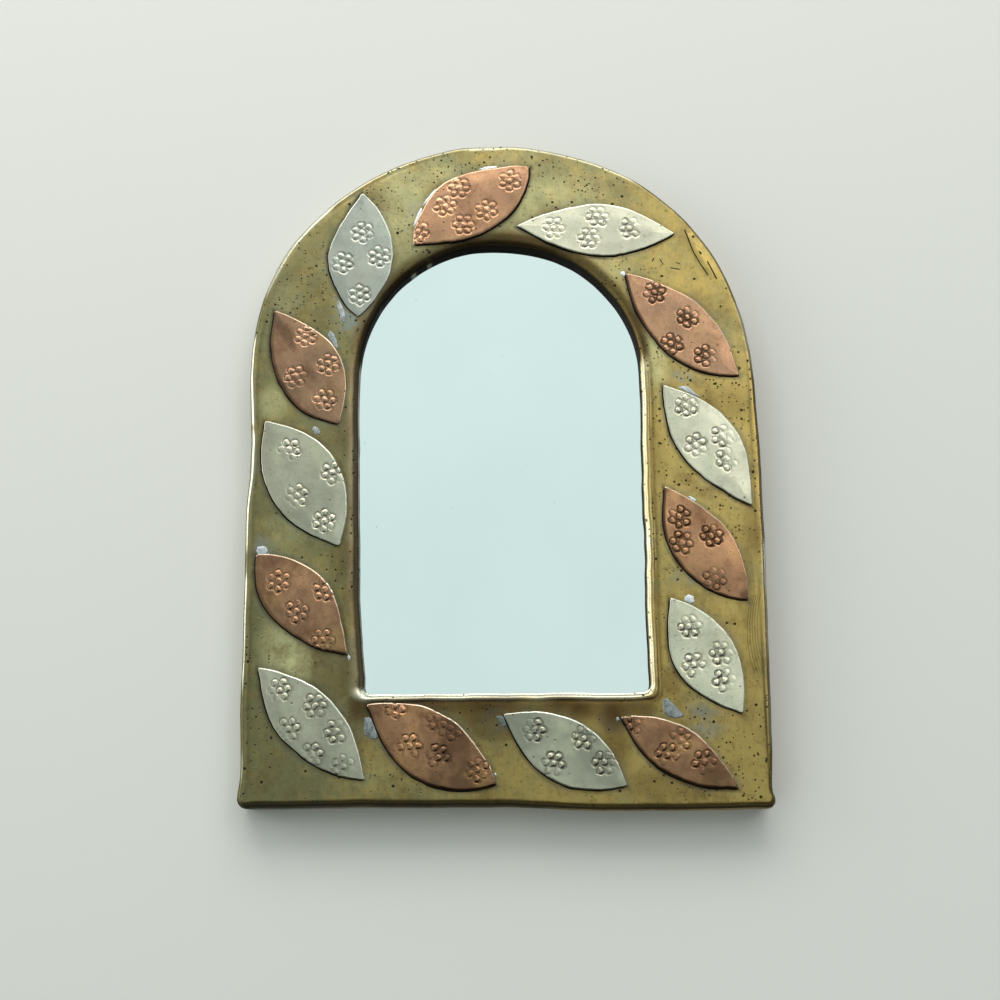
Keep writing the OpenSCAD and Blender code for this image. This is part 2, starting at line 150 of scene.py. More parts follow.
# Tarnished places: leaf, middle along and across, reach along and across, and strength.
TARNISH = [
    (2, -15, 0, 6, 4, 0.3), (4, 1, 1, 4, 3, 0.2), (6, 19.5, 0, 3, 2.5, 0.7), (6, -20, 0, 2.5, 2, 0.6),
    (8, -17, 0, 4, 3, 0.4), (9, 12, 1, 9, 7, 0.35), (10, 0, 6, 14, 3, 0.35), (12, 13, 5, 8, 3.5, 0.35),
    (13, 9, 4.5, 7, 3.5, 0.25), (14, -12, -0.5, 7, 2.2, 0.5), (14, 3, 0.3, 6, 2, 0.4),
]

# Tone of each leaf: how bright its sheet is, partly tarnish and partly painted reflection, as the leaves on
# the right are set brighter than those on the left and at the base; how much of it is greyed; and how dark
# its flowers' grounds are painted, with dirt and painted shade.
TONES = [
    (0.12, 0.6, 0.1), (0.62, 0.15, 0.1), (0.85, 0.1, 0.1), (0.9, 0.2, 0.9), (0.8, 0.1, 0.2), (0.6, 0, 1),
    (0.8, 0.1, 0.2), (0.1, 0, 0), (0.2, 0.1, 0.2), (0.1, 0, 0), (0.35, 0.1, 0.2), (0.4, 0.1, 0),
    (0.55, 0.1, 0.1), (0.3, 0.25, 0),
]

# The solder that ran out from under the leaves: leaf, how bright it is, and the corners of the patch, along
# and across the leaf's long axis.
SOLDER = [
    (1, 0.4, [(14.8, -6.4), (17, -5), (19.5, -4.1), (23, -4.2), (22, -5.4), (19, -5.9), (17, -6.9)]),
    (2, 1, [(-19.2, 4.9), (-17.2, 6.7), (-14.8, 8.2), (-12.8, 9.2), (-13, 8.3), (-15.4, 6.8), (-17.8, 5.2)]),
    (2, 1, [(-13.2, 9), (-10.6, 10.2), (-8, 11), (-5.4, 11.6), (-5.6, 10.9), (-8.4, 10.1), (-11, 9.2)]),
    (2, 0.9, [(8.8, 9), (11, 8.4), (13, 7.3), (14.7, 6.2), (14.2, 5.6), (12.2, 6.6), (10, 7.6)]),
    (4, 1, [(-25.4, -0.3), (-24.8, 0.3), (-23.8, 0), (-23.6, -0.9), (-24.4, -1.4), (-25.2, -1.1)]),
    (5, 0.5, [(-20, 3), (-19.4, 5), (-17.8, 6.3), (-14.8, 6.8), (-12.6, 7.8), (-14.6, 6), (-17.4, 4.4)]),
    (6, 1, [(-14.8, 3.9), (-13.6, 4.9), (-12.2, 5.4), (-11.9, 4.7), (-13.3, 4)]),
    (7, 0.9, [(-18.1, 5), (-16.6, 6.1), (-15, 5.6), (-15, 4.2), (-16.8, 2.9), (-17.9, 3.6)]),
    (8, 0.3, [(-11.9, 11), (-10.7, 11.8), (-8.7, 11.4), (-7.3, 10.8), (-5.3, 10.5), (-3.7, 9.9),
              (-4.7, 8.8), (-6, 7.6), (-7.6, 7.1), (-9.3, 7.4), (-10.5, 8.3), (-11.3, 9.7)]),
    (8, 0.4, [(-20.6, -0.8), (-20, -0.4), (-19.2, -0.8), (-19.6, -1.8), (-20.4, -1.6)]),
    (9, 0.1, [(-22.3, -1.6), (-21, -0.7), (-19.4, -0.6), (-17.9, -2.4), (-18.4, -3.3), (-20, -2.8)]),
    (10, 0.3, [(-20.8, -3.4), (-19.4, -2.3), (-16.6, -4.2), (-13.8, -6.4), (-14.8, -7.6), (-18, -7.9),
               (-18.9, -6.6), (-19.8, -5)]),
    (10, 1, [(19.7, 2.5), (20.2, 2.7), (20.7, 2.2), (20.3, 1.7), (19.8, 2)]),
    (12, 0.7, [(-21.9, 1.8), (-21.2, 3.2), (-19.6, 3.7), (-18.5, 3), (-18.4, 1.2), (-19.4, 0.3),
               (-21.2, 0.5)]),
    (12, 1, [(-18.4, 2.3), (-17.8, 3.1), (-16.9, 3), (-16.4, 2.1), (-16.9, 1.4), (-18, 1.4)]),
    (12, 0.9, [(20.4, 0.4), (21.4, 0.3), (22.3, -0.4), (21.8, -0.8), (20.8, -0.3)]),
    (13, 0.4, [(-13.8, 11.6), (-13, 12.6), (-11, 12.7), (-10.4, 11.9), (-11.2, 11), (-12.8, 10.8)]),
    (14, 0.35, [(-7.4, 11.8), (-5.6, 12.4), (-2.4, 12), (0, 11), (-2, 10.4), (-5.6, 10.1)]),
]


# Shape helpers

def stand(points):
    """Millimetres drawn lying down, as metres in the object's own frame."""
    x, up, out = np.asarray(points, float).T
    return np.column_stack([x, -out, up - FRAME_H / 2]) * MM


def fade(value):
    """A smooth step from 0 to 1."""
    value = np.clip(value, 0, 1)
    return value * value * (3 - 2 * value)


def ripple(x, y, size, seed):
    """Smooth unevenness from -1 to 1, with swells of about the size given. Each seed has its own pattern."""
    cells = 97
    far_off = 1000
    lattice = np.random.default_rng(seed).uniform(-1, 1, (cells, cells))
    u = np.asarray(x, float) / size + far_off
    v = np.asarray(y, float) / size + far_off
    i = np.floor(u).astype(int)
    j = np.floor(v).astype(int)
    a = fade(u - i)
    b = fade(v - j)
    i, i2, j, j2 = (place % cells for place in (i, i + 1, j, j + 1))
    low = lattice[i, j] * (1 - a) + lattice[i2, j] * a
    high = lattice[i, j2] * (1 - a) + lattice[i2, j2] * a
    return low * (1 - b) + high * b


def near_path(x, y, path):
    """Distance to a bent line, and the share of its length at which it is nearest."""
    path = np.asarray(path, float)
    steps = np.diff(path, axis=0)
    lengths = np.hypot(*steps.T)
    starts = np.concatenate([[0], np.cumsum(lengths)[:-1]])
    best = np.full(np.shape(x), np.inf)
    share = np.zeros(np.shape(x))
    for (px, py), (sx, sy), length, start in zip(path, steps, lengths, starts):
        t = np.clip(((x - px) * sx + (y - py) * sy) / length ** 2, 0, 1)
        gap = np.hypot(x - px - t * sx, y - py - t * sy)
        closer = gap < best
        best = np.where(closer, gap, best)
        share = np.where(closer, (start + t * length) / lengths.sum(), share)
    return best, share


def spot_gap(x, y, middle_x, middle_y, reach_x, reach_y):
    """How far out in an oval spot places lie: 0 is its middle and 1 its edge."""
    return np.hypot((x - middle_x) / reach_x, (y - middle_y) / reach_y)


def grid_faces(rows, columns, wrap_rows=False, wrap_columns=False):
    """The faces of a grid of points kept row by row."""
    r, c = np.meshgrid(np.arange(rows if wrap_rows else rows - 1),
                       np.arange(columns if wrap_columns else columns - 1), indexing="ij")
    r2 = (r + 1) % rows
    c2 = (c + 1) % columns
    corners = [r * columns + c, r * columns + c2, r2 * columns + c2, r2 * columns + c]
    return np.stack(corners, -1).reshape(-1, 4)


def grid_rim(rows, columns):
    """The places round the edge of such a grid, in turn."""
    last = (rows - 1) * columns
    there = list(range(columns)) + [r * columns + columns - 1 for r in range(1, rows)]
    back = [last + c for c in range(columns - 2, -1, -1)] + [r * columns for r in range(rows - 2, 0, -1)]
    return there + back


def strip_normals(path):
    """The direction out of a bent strip at each point of its section."""
    steps = np.gradient(path, axis=0)
    steps /= np.hypot(*steps.T)[:, None]
    return np.column_stack([-steps[:, 1], steps[:, 0]])


def strip_faces(rows, columns):
    """The faces of a strip made of two such grids, front and back, and closed round their edge."""
    front = grid_faces(rows, columns)
    back = rows * columns
    rim = grid_rim(rows, columns)
    walls = [[place, after, back + after, back + place] for place, after in zip(rim, rim[1:] + rim[:1])]
    return front.tolist() + (front[:, ::-1] + back).tolist() + walls


def make_piece(name, points, faces, material, body="frame", paints=None):
    """A smooth-shaded piece from points drawn lying down, with the named values kept at its points."""
    mesh = bpy.data.meshes.new(name)
    mesh.from_pydata(stand(points).tolist(), [], [list(map(int, face)) for face in faces])
    for paint, values in (paints or {}).items():
        kept = mesh.attributes.new(paint, "FLOAT", "POINT")
        kept.data.foreach_set("value", np.asarray(values, np.float32))
    shape = bmesh.new()
    shape.from_mesh(mesh)
    bmesh.ops.recalc_face_normals(shape, faces=shape.faces)
    shape.to_mesh(mesh)
    shape.free()
    mesh.polygons.foreach_set("use_smooth", [True] * len(mesh.polygons))
    mesh.materials.append(material)
    piece = bpy.data.objects.new(name, mesh)
    bpy.context.scene.collection.objects.link(piece)
    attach(piece, body)
    return piece


# Material helpers

def srgb(red, green, blue):
    """A colour given as 0 to 255, as the shader wants it."""
    parts = [part / 255 for part in (red, green, blue)]
    return tuple(p / 12.92 if p <= 0.04045 else ((p + 0.055) / 1.055) ** 2.4 for p in parts) + (1,)


class Shading:
    """Nodes of one shader tree. A method's values may be numbers, colours or other nodes' outputs."""

    def __init__(self, tree):
        self.tree = tree

    def give(self, socket, value):
        if isinstance(value, bpy.types.NodeSocket):
            self.tree.links.new(value, socket)
        else:
            socket.default_value = value

    def node(self, kind, values, output=0, **settings):
        made = self.tree.nodes.new("ShaderNode" + kind)
        for setting, value in settings.items():
            setattr(made, setting, value)
        for socket, value in values.items():
            self.give(made.inputs[socket], value)
        return made.outputs[output]

    def span(self, value, low, high, to_low=0.0, to_high=1.0, smooth=True):
        return self.node("MapRange", {"Value": value, "From Min": low, "From Max": high, "To Min": to_low,
                                      "To Max": to_high},
                         interpolation_type="SMOOTHSTEP" if smooth else "LINEAR")

    def spread(self, noise, low, high):
        """The middle part of a noise, spread evenly between two values."""
        return self.span(noise, 0.3, 0.7, low, high, smooth=False)

    def math(self, operation, a, b=0.0):
        return self.node("Math", {0: a, 1: b}, operation=operation)

    def plus(self, a, b):
        return self.math("ADD", a, b)

    def less(self, a, b):
        return self.math("SUBTRACT", a, b)

    def times(self, a, b):
        return self.math("MULTIPLY", a, b)

    def most(self, a, b):
        return self.math("MAXIMUM", a, b)

    def mix(self, share, a, b):
        return self.node("Mix", {0: share, 6: a, 7: b}, 2, data_type="RGBA")


class Finish(Shading):
    """A material of nodes round one Principled shader."""

    def __init__(self, name, **constants):
        self.material = bpy.data.materials.new(name)
        self.material.use_nodes = True
        super().__init__(self.material.node_tree)
        self.shader = self.tree.nodes["Principled BSDF"]
        self.place = self.tree.nodes.new("ShaderNodeTexCoord").outputs["Object"]
        for socket, value in constants.items():
            self.shader.inputs[socket.replace("_", " ")].default_value = value

    def stretch(self, along_x, along_y, along_z):
        return self.node("Mapping", {"Vector": self.place, "Scale": (along_x, along_y, along_z)})

    def noise(self, scale, detail=3, rough=0.55, place=None):
        return self.node("TexNoise", {"Vector": place or self.place, "Scale": scale, "Detail": detail,
                                      "Roughness": rough})

    def spots(self, scale, output="Distance"):
        return self.node("TexVoronoi", {"Vector": self.place, "Scale": scale}, output)

    def pits(self, scale, most, chance_from=0.4):
        """Small dark pits: only some cells hold one, and each has its own size."""
        chance = self.node("SeparateColor", {"Color": self.spots(scale, "Color")})
        reach = self.span(chance, chance_from, 1.0, 0.0, most, smooth=False)
        past = self.math("DIVIDE", self.spots(scale), self.most(reach, 0.001))
        return self.span(past, 1.0, 0.6)

    def paint(self, name):
        return self.node("Attribute", {}, "Fac", attribute_name=name)

    def vector(self, operation, a, b, output=0):
        return self.node("VectorMath", {0: a, 1: b}, output, operation=operation)

    def stroke(self, path, half_width):
        """A mask that follows a bent line of (x, up) places on the object, in millimetres."""
        flat = self.vector("MULTIPLY", self.place, (1, 0, 1))
        nearest = None
        for start, end in zip(path, path[1:]):
            a, b = (Vector((x * MM, 0, (up - FRAME_H / 2) * MM)) for x, up in (start, end))
            along = b - a
            offset = self.vector("SUBTRACT", flat, a)
            share = self.vector("DOT_PRODUCT", offset, along / along.length_squared, 1)
            share = self.node("Clamp", {"Value": share})
            reach = self.node("VectorMath", {0: along, "Scale": share}, operation="SCALE")
            gap = self.vector("LENGTH", self.vector("SUBTRACT", offset, reach), (0, 0, 0), 1)
            nearest = gap if nearest is None else self.math("MINIMUM", nearest, gap)
        return self.span(nearest, half_width * MM, 0.4 * half_width * MM)

    def layers(self, base, *layers):
        """A colour with others laid over it, each a mask and a colour of 0 to 255."""
        for share, colour in layers:
            base = self.mix(share, base, srgb(*colour))
        return base

    def colour(self, value):
        self.give(self.shader.inputs["Base Color"], value)

    def metal(self, value):
        self.give(self.shader.inputs["Metallic"], value)

    def roughness(self, value):
        self.give(self.shader.inputs["Roughness"], value)

    def bumps(self, *layers):
        """Bump layers, each a height and the depth of its full range in metres."""
        normal = None
        for height, depth in layers:
            values = {"Height": height, "Distance": depth, "Strength": 1.0}
            if normal is not None:
                values["Normal"] = normal
            normal = self.node("Bump", values)
        self.tree.links.new(normal, self.shader.inputs["Normal"])


# Materials

# Spacing of the press mesh on the hardboard, in metres.
BOARD_MESH = 0.0015

# The dark crease at the upper right and its side lines: a bent line and its half width.
CREASE_LINES = [
    ([(57.4, 176.2), (58.2, 173.7), (58.9, 171.4), (59.9, 168.5), (61.8, 164.8), (63.9, 161.2)], 0.26),
    ([(64.1, 165.4), (65.3, 162.7), (66.6, 159.9)], 0.28),
    ([(61.8, 168.7), (62.1, 168.2)], 0.4),
]

# Brown stains of the brass: middle across and up, reach across and up, and strength.
STAINS = [
    (-52, 44, 9, 17, 0.36), (-50, 20, 12, 9, 0.3), (60, 147, 5, 9, 0.25), (-63, 158, 8, 5, 0.1),
    (-2, 22, 10, 5, 0.45), (44, 24, 8, 6, 0.35), (33, 189, 9, 3, 0.12), (71, 62, 3, 12, 0.3),
]

# Paler places of the brass, as the stains are given. Below zero the place is darker; the one at -50 across
# and 50 up is a painted shadow by the tip of the twelfth leaf.
PATCHES = [
    (-31, 185, 8, 15, 0.3), (20, 189.5, 16, 6, 0.26), (8, 184, 4, 6, 0.25), (-70, 121.5, 5, 6, 0.45),
    (-66, 81, 7, 6, 0.2), (-64.5, 45.5, 8, 8, 0.7), (-60, 40, 5, 4, 0.55), (-55, 40, 6, 5, 0.3),
    (46.5, 132.5, 4, 9, 0.45), (-36, 9, 8, 5, 0.15), (56, 30.5, 5, 3, 0.35), (-20, 196, 8, 4, 0.2),
    (-67, 155, 5, 6, 0.15), (33, 163, 7, 4, 0.2), (70, 119, 6, 6, -0.3), (74, 82, 4, 13, -0.35),
    (-49, 73, 4, 12, -0.3), (-50, 50, 3.5, 4, -0.8), (31, 18, 5, 10, -0.45), (-3, 21, 7, 5, -0.15),
    (46, 5, 13, 4, -0.3), (21.5, 26.5, 4, 3, -0.3), (-49, 115, 4, 12, -0.25), (46, 100, 3, 10, -0.2),
    (43, 9, 5, 3, -0.2), (48, 35, 3, 4, -0.3), (74, 77, 4, 6, -0.2), (61.5, 119.5, 4, 4, -0.25),
]

# Greyish films left by the soldering, given in the same way.
FILMS = [
    (-47, 150, 7, 10, 1), (-55, 119, 7, 5, 0.6), (-38, 24, 6, 6, 0.6), (0, 26, 7, 6, 0.8),
    (33, 25, 8, 6, 0.8), (56, 24, 9, 7, 0.7), (55, 66, 7, 4, 0.6), (56, 128, 7, 4, 0.6),
    (-72, 75, 4, 6, 0.6), (-27, 180, 6, 8, 0.6),
]

# Fine curved file marks by the right edge: the first of a set that steps inwards and down.
FILE_MARK = [(75.4, 39), (74.3, 43), (73.8, 48), (73.9, 53), (74.6, 58), (75.4, 61)]
FILE_MARKS = 5
FILE_STEP_IN = 0.75
FILE_STEP_DOWN = 0.4
FILE_HALF_W = 0.16

# Short scratches and nicks: both ends and the half width.
SCRATCHES = [
    ([(52.6, 163.6), (55.2, 163.1)], 0.2), ([(54.2, 165.5), (55.4, 164.9)], 0.16),
    ([(46.9, 165.9), (47.3, 166.8)], 0.2), ([(49.3, 166.4), (50.2, 164.9)], 0.18),
    ([(-47.8, 185.8), (-47.7, 185.9)], 0.55), ([(-67.6, 32.6), (-66.6, 31.8)], 0.2),
    ([(38, 187.7), (38.1, 187.8)], 0.5), ([(16, 186), (16.2, 186)], 0.4), ([(-18, 192), (-18, 192.1)], 0.4),
    ([(47, 107), (47.4, 106.8)], 0.45), ([(51, 65), (51.1, 65.2)], 0.4),
    ([(-51, 158.6), (-50.9, 158.7)], 0.35),
]


def brass_finish():
    """Aged sheet brass: golden to olive, brown where it was worked, with grain, pits and dull spots, and with
    the painted highlights and painted shade of its rolled edges and lip.
    """
    made = Finish("aged_sheet_brass", Specular_IOR_Level=0.15)
    cloud = made.noise(34, 4, 0.6)
    stain = made.noise(75, 5, 0.7)
    speckle = made.noise(700, 4, 0.7)
    grain = made.noise(1, 2, 0.5, made.stretch(3800, 900, 240))
    golden = made.plus(made.paint("golden"), made.spread(cloud, -0.3, 0.3))
    golden = made.plus(golden, made.spread(made.noise(190, 3, 0.6), -0.25, 0.25))
    base = made.mix(made.span(golden, 0.0, 1.0), srgb(142, 134, 96), srgb(192, 162, 96))
    haze = made.times(made.paint("haze"), made.span(made.noise(130, 4, 0.65), 0.4, 0.62))
    sheet = made.layers(
        base,
        (made.paint("pale"), (238, 226, 168)),
        (made.span(stain, 0.45, 0.72, 0.0, 0.65), (122, 100, 60)),
        (made.span(grain, 0.4, 0.7, 0.0, 0.1), (96, 82, 50)),
        (made.span(speckle, 0.5, 0.75, 0.0, 0.45), (86, 72, 42)),
        (haze, (138, 145, 140)),
        (made.paint("brown"), (88, 62, 34)),
        # Painted highlight, near white, with real wear, on the rolled edges and the lip.
        (made.paint("wear_and_highlight"), (250, 241, 216)),
        # Near-black painted shade and dark reflection on the rolled edges, down the lip and beside the
        # leaves, with real grime.
        (made.paint("grime_and_shade"), (22, 17, 11)))
    crowd = made.span(made.noise(22, 2), 0.4, 0.58, 0.1, 1.0)
    pits = made.most(made.pits(400, 0.24, 0.45), made.times(made.pits(900, 0.36, 0.3), crowd))
    for line, half_width in CREASE_LINES + SCRATCHES:
        pits = made.most(pits, made.stroke(line, half_width))
    filed = made.stroke(FILE_MARK, FILE_HALF_W)
    for step in range(1, FILE_MARKS):
        mark = [(x - FILE_STEP_IN * step, up - FILE_STEP_DOWN * step) for x, up in FILE_MARK]
        filed = made.most(filed, made.stroke(mark, FILE_HALF_W))
    pits = made.most(pits, made.times(filed, 0.28))
    shown = made.times(pits, made.less(1.0, made.paint("hidden")))
    made.colour(made.layers(sheet, (made.times(shown, 0.92), (34, 27, 16))))
    coated = made.most(made.times(shown, 0.8), made.span(made.paint("grime_and_shade"), 0.4, 0.9))
    coated = made.most(coated, made.times(haze, 0.25))
    made.metal(made.less(1.0, coated))
    polished = made.less(made.spread(stain, 0.26, 0.42), made.times(made.paint("wear_and_highlight"), 0.15))
    made.roughness(made.plus(polished, made.times(coated, 0.35)))
    made.bumps((made.noise(420, 3), 0.00004), (speckle, 0.000012), (grain, 0.000006), (shown, -0.00015))
    return made.material


def leaf_finish(name, dull, bright, greyed, tarnish, shadow, lit_edge, tint, tinted, patchy, rough):
    """Sheet metal of a stamped leaf: two tones, tarnish in clouds, dirt and painted shade in the struck
    grounds and along the lower edge, a painted highlight on the lit cut edge and a near-black joint with
    painted shadow.
    """
    made = Finish(name, Specular_IOR_Level=0.15)
    cloud = made.noise(48, 4, 0.6)
    smear = made.noise(120, 5, 0.7)
    fine = made.noise(900, 4, 0.7)
    light = made.plus(made.paint("light"), made.spread(cloud, -patchy, patchy))
    base = made.mix(made.span(light, -0.1, 1.1, smooth=False), srgb(*dull), srgb(*bright))
    pits = made.most(made.pits(500, 0.2, 0.6), made.pits(1300, 0.22, 0.6))
    made.colour(made.layers(
        base,
        (made.span(made.noise(85, 3, 0.6), 0.5, 0.68, 0.0, tinted), tint),
        (made.paint("grey"), greyed),
        (made.span(smear, 0.48, 0.75, 0.0, patchy + 0.1), tarnish),
        (made.span(fine, 0.5, 0.78, 0.0, 0.4), tarnish),
        # Dirt and painted shade in the struck grounds and along the lower edge, the painted highlight of the
        # lit cut edge, and the near-black joint, dirt with painted shadow.
        (made.span(made.paint("dirt_and_shade"), 0.05, 1.0, 0.0, 0.85), shadow),
        (made.paint("edge"), lit_edge),
        (made.paint("joint_and_shadow"), (16, 12, 8)),
        (made.times(pits, 0.7), (58, 48, 38))))
    coated = made.most(made.paint("joint_and_shadow"), made.times(pits, 0.6))
    made.metal(made.less(1.0, coated))
    even = made.less(made.spread(smear, rough, rough + 0.14), made.times(made.paint("edge"), 0.1))
    made.roughness(made.plus(even, made.times(coated, 0.3)))
    scratches = made.noise(1, 2, 0.5, made.stretch(1500, 900, 160))
    made.bumps((made.noise(380, 3), 0.00003), (fine, 0.000012), (scratches, 0.000006), (pits, -0.00008))
    return made.material


def solder_finish():
    """Soft solder: pale to bluish grey, and grainy."""
    made = Finish("soft_solder", Metallic=1.0)
    grain = made.noise(700, 5, 0.7)
    bright = made.plus(made.paint("light"), made.spread(grain, -0.25, 0.25))
    made.colour(made.mix(made.span(bright, 0.0, 1.0), srgb(112, 116, 110), srgb(226, 226, 230)))
    made.roughness(made.spread(grain, 0.36, 0.58))
    made.bumps((grain, 0.00004), (made.noise(260, 2), 0.00005))
    return made.material


def mirror_finish():
    """Silvered glass: nearly even, with faint smears and a few specks of dust."""
    made = Finish("silvered_glass", Metallic=1.0, Roughness=0.02)
    smear = made.noise(22, 3, 0.5)
    specks = made.pits(260, 0.05, 0.7)
    tint = made.mix(made.span(smear, 0.35, 0.65), srgb(250, 252, 251), srgb(246, 249, 248))
    made.colour(made.layers(tint, (specks, (150, 160, 158))))
    made.roughness(made.plus(made.spread(smear, 0.012, 0.03), made.times(specks, 0.3)))
    return made.material


def paint_finish():
    """The brown paint on the mirror's back."""
    made = Finish("backing_paint", Roughness=0.6)
    made.colour(made.mix(made.noise(60, 4), srgb(96, 74, 66), srgb(74, 56, 50)))
    made.bumps((made.noise(900, 2), 0.00003))
    return made.material


def card_finish():
    """Grey-brown packing card with short fibres."""
    made = Finish("packing_card_grey", Roughness=0.9)
    fibre = made.noise(1, 4, 0.6, made.stretch(1400, 1400, 380))
    made.colour(made.mix(made.span(fibre, 0.3, 0.7), srgb(150, 130, 100), srgb(196, 176, 142)))
    made.bumps((fibre, 0.00005))
    return made.material


def board_finish():
    """Hardboard: brown pressed fibre, with the fine mesh that its rough side takes from the press."""
    made = Finish("hardboard_brown", Roughness=0.78)
    x, _, up = (made.node("SeparateXYZ", {0: made.place}, axis) for axis in range(3))
    turn_per_metre = 2 * math.pi / BOARD_MESH
    across, along = (made.math("SINE", made.times(way, turn_per_metre)) for way in (x, up))
    mesh = made.most(across, along)
    fibre = made.noise(500, 6, 0.7)
    wood = made.mix(made.span(fibre, 0.3, 0.7), srgb(92, 62, 38), srgb(134, 96, 62))
    made.colour(made.layers(
        wood,
        (made.span(made.noise(32, 4, 0.6), 0.4, 0.7, 0.0, 0.5), (74, 50, 32)),
        (made.span(mesh, -0.2, 1.0, 0.35, 0.0), (58, 38, 24))))
    made.bumps((made.span(mesh, -1.0, 1.0), 0.00012), (fibre, 0.00006))
    return made.material


def plain_brass_finish(name, dark, light, rough):
    """Drawn or cut brass of the hidden fittings, with faint draw lines and dulling."""
    made = Finish(name, Metallic=1.0, Roughness=rough)
    cloud = made.noise(140, 5, 0.65)
    lines = made.noise(1, 3, 0.6, made.stretch(300, 2500, 2500))
    base = made.mix(made.span(cloud, 0.35, 0.7), srgb(*light), srgb(*dark))
    made.colour(made.layers(base, (made.span(lines, 0.4, 0.7, 0.0, 0.35), (120, 98, 54))))
    made.roughness(made.spread(cloud, rough - 0.06, rough + 0.12))
    made.bumps((lines, 0.00001), (made.noise(420, 2), 0.00003))
    return made.material


brass = brass_finish()
leaf_metals = {
    "nickel": leaf_finish(
        "nickel_silver_sheet", dull=(152, 146, 128), bright=(232, 221, 194), greyed=(170, 174, 168),
        tarnish=(150, 143, 124), shadow=(92, 88, 72), lit_edge=(253, 250, 240), tint=(214, 208, 172),
        tinted=0.45, patchy=0.4, rough=0.24),
    "copper": leaf_finish(
        "copper_sheet", dull=(118, 86, 64), bright=(226, 164, 124), greyed=(186, 158, 138),
        tarnish=(112, 76, 56), shadow=(62, 40, 28), lit_edge=(253, 230, 206), tint=(206, 158, 98),
        tinted=0.34, patchy=0.6, rough=0.2),
}
solder = solder_finish()
strip_brass = plain_brass_finish("clip_strip_brass", (136, 118, 70), (184, 160, 98), 0.4)
hanger_brass = plain_brass_finish("hanger_drawn_brass", (150, 126, 70), (212, 184, 112), 0.3)


# The brass sheet

BASE_STEPS = 110
CORNER_STEPS = 12
SIDE_STEPS = 190
ARCH_STEPS = 360

# How far the worked outline stands outside the plain one, by angle round the arch, by height up the two
# sides, and by place along the base.
ARCH_PUSH = [
    (0, 0.2), (10, 0.1), (20, 0.3), (30, 0.9), (40, 1.3), (50, 1.5), (60, 1.8), (66, 1.5), (75, 1.3),
    (90, 1.8), (100, 2.3), (110, 2.25), (120, 2.4), (130, 2.65), (140, 2.95), (145, 3.3), (150, 3.0),
    (155, 2.5), (160, 2.2), (165, 1.75), (170, 1.25), (180, 0.75),
]
LEFT_PUSH = [
    (0, 0.8), (3, 0.8), (8, 0), (13, -0.1), (28, 0.5), (50, 0.45), (70, 0.5), (88, 0.8), (98, 0.3),
    (108, -0.1), (118, 0.4), (128, 0.75),
]
RIGHT_PUSH = [
    (0, 0), (4, -0.6), (8, -0.4), (18, 0.1), (38, 0.3), (48, 0.4), (68, 0.9), (98, 1.2), (108, 1.1),
    (118, 0.7), (128, 0.4),
]
BASE_PUSH = [
    (-76, -0.1), (-60, -0.3), (-40, -0.4), (-15, -0.1), (0, 0), (10, 0.5), (20, 1.2), (50, 1.6), (76, 1.4),
]

# The painted highlight along the outer edge, with painted dark reflection on the roll where it is dim: place,
# how bright it is there, and how broad the edge is rolled.
ARCH_SHINE = [
    (0, 0, 0.3), (4, 0.6, 0.2), (17, 0.6, 0.2), (20, 0, 0.2), (55, 0, 0.2), (59, 0.8, 0.3), (88, 0.8, 0.4),
    (92, 1, 0.9), (97, 1, 0.9), (99, 0.5, 0.2), (131, 0.6, 0.3), (134, 1, 0.8), (150, 1, 0.9),
    (157, 0.6, 0.4), (160, 0, 0.2), (168, 0, 0.2), (171, 0.9, 0.2), (180, 1, 0.4),
]
LEFT_SHINE = [
    (0, 0, 0.2), (7, 0, 0.2), (9, 0.4, 0.1), (14, 0.4, 0.1), (17, 0, 0.1), (32, 0, 0.1), (38, 0.7, 0.1),
    (66, 0.8, 0.2), (69, 0.1, 0.1), (74, 0.1, 0.1), (76, 0.8, 0.2), (90, 0.9, 0.4), (99, 1, 0.9),
    (111, 1, 0.9), (113, 0.2, 0.7), (115, 1, 0.8), (128, 1, 0.5),
]
RIGHT_SHINE = [
    (0, 0, 0.4), (14, 0, 0.4), (17, 0.3, 0.3), (30, 0.3, 0.3), (35, 0.1, 0.3), (45, 0.4, 0.3),
    (60, 0.5, 0.3), (64, 0.9, 0.4), (75, 0.9, 0.4), (78, 0.2, 0.3), (128, 0, 0.3),
]

# How far the opening's left side leans to the right, by height.
CORNER_LEAN = [(38, 2.7), (45, 2.1), (53, 1.2), (61, 0.6), (70, 0.5), (85, 0.2), (110, 0)]

# The scored line inside the right edge: height and how dark it is there.
SCORED = [(0, 0), (8, 0.85), (40, 0.9), (62, 0.4), (70, 0), (90, 0.6), (128, 0.5), (140, 0)]

# Bare burrs on the arch's lip.
BURRS = [(-23, 167), (-27.5, 163)]

# The ridge pressed up at the upper right.
CREASE = [(57.8, 176), (60.3, 170.8), (62.6, 166), (66.4, 159.8)]


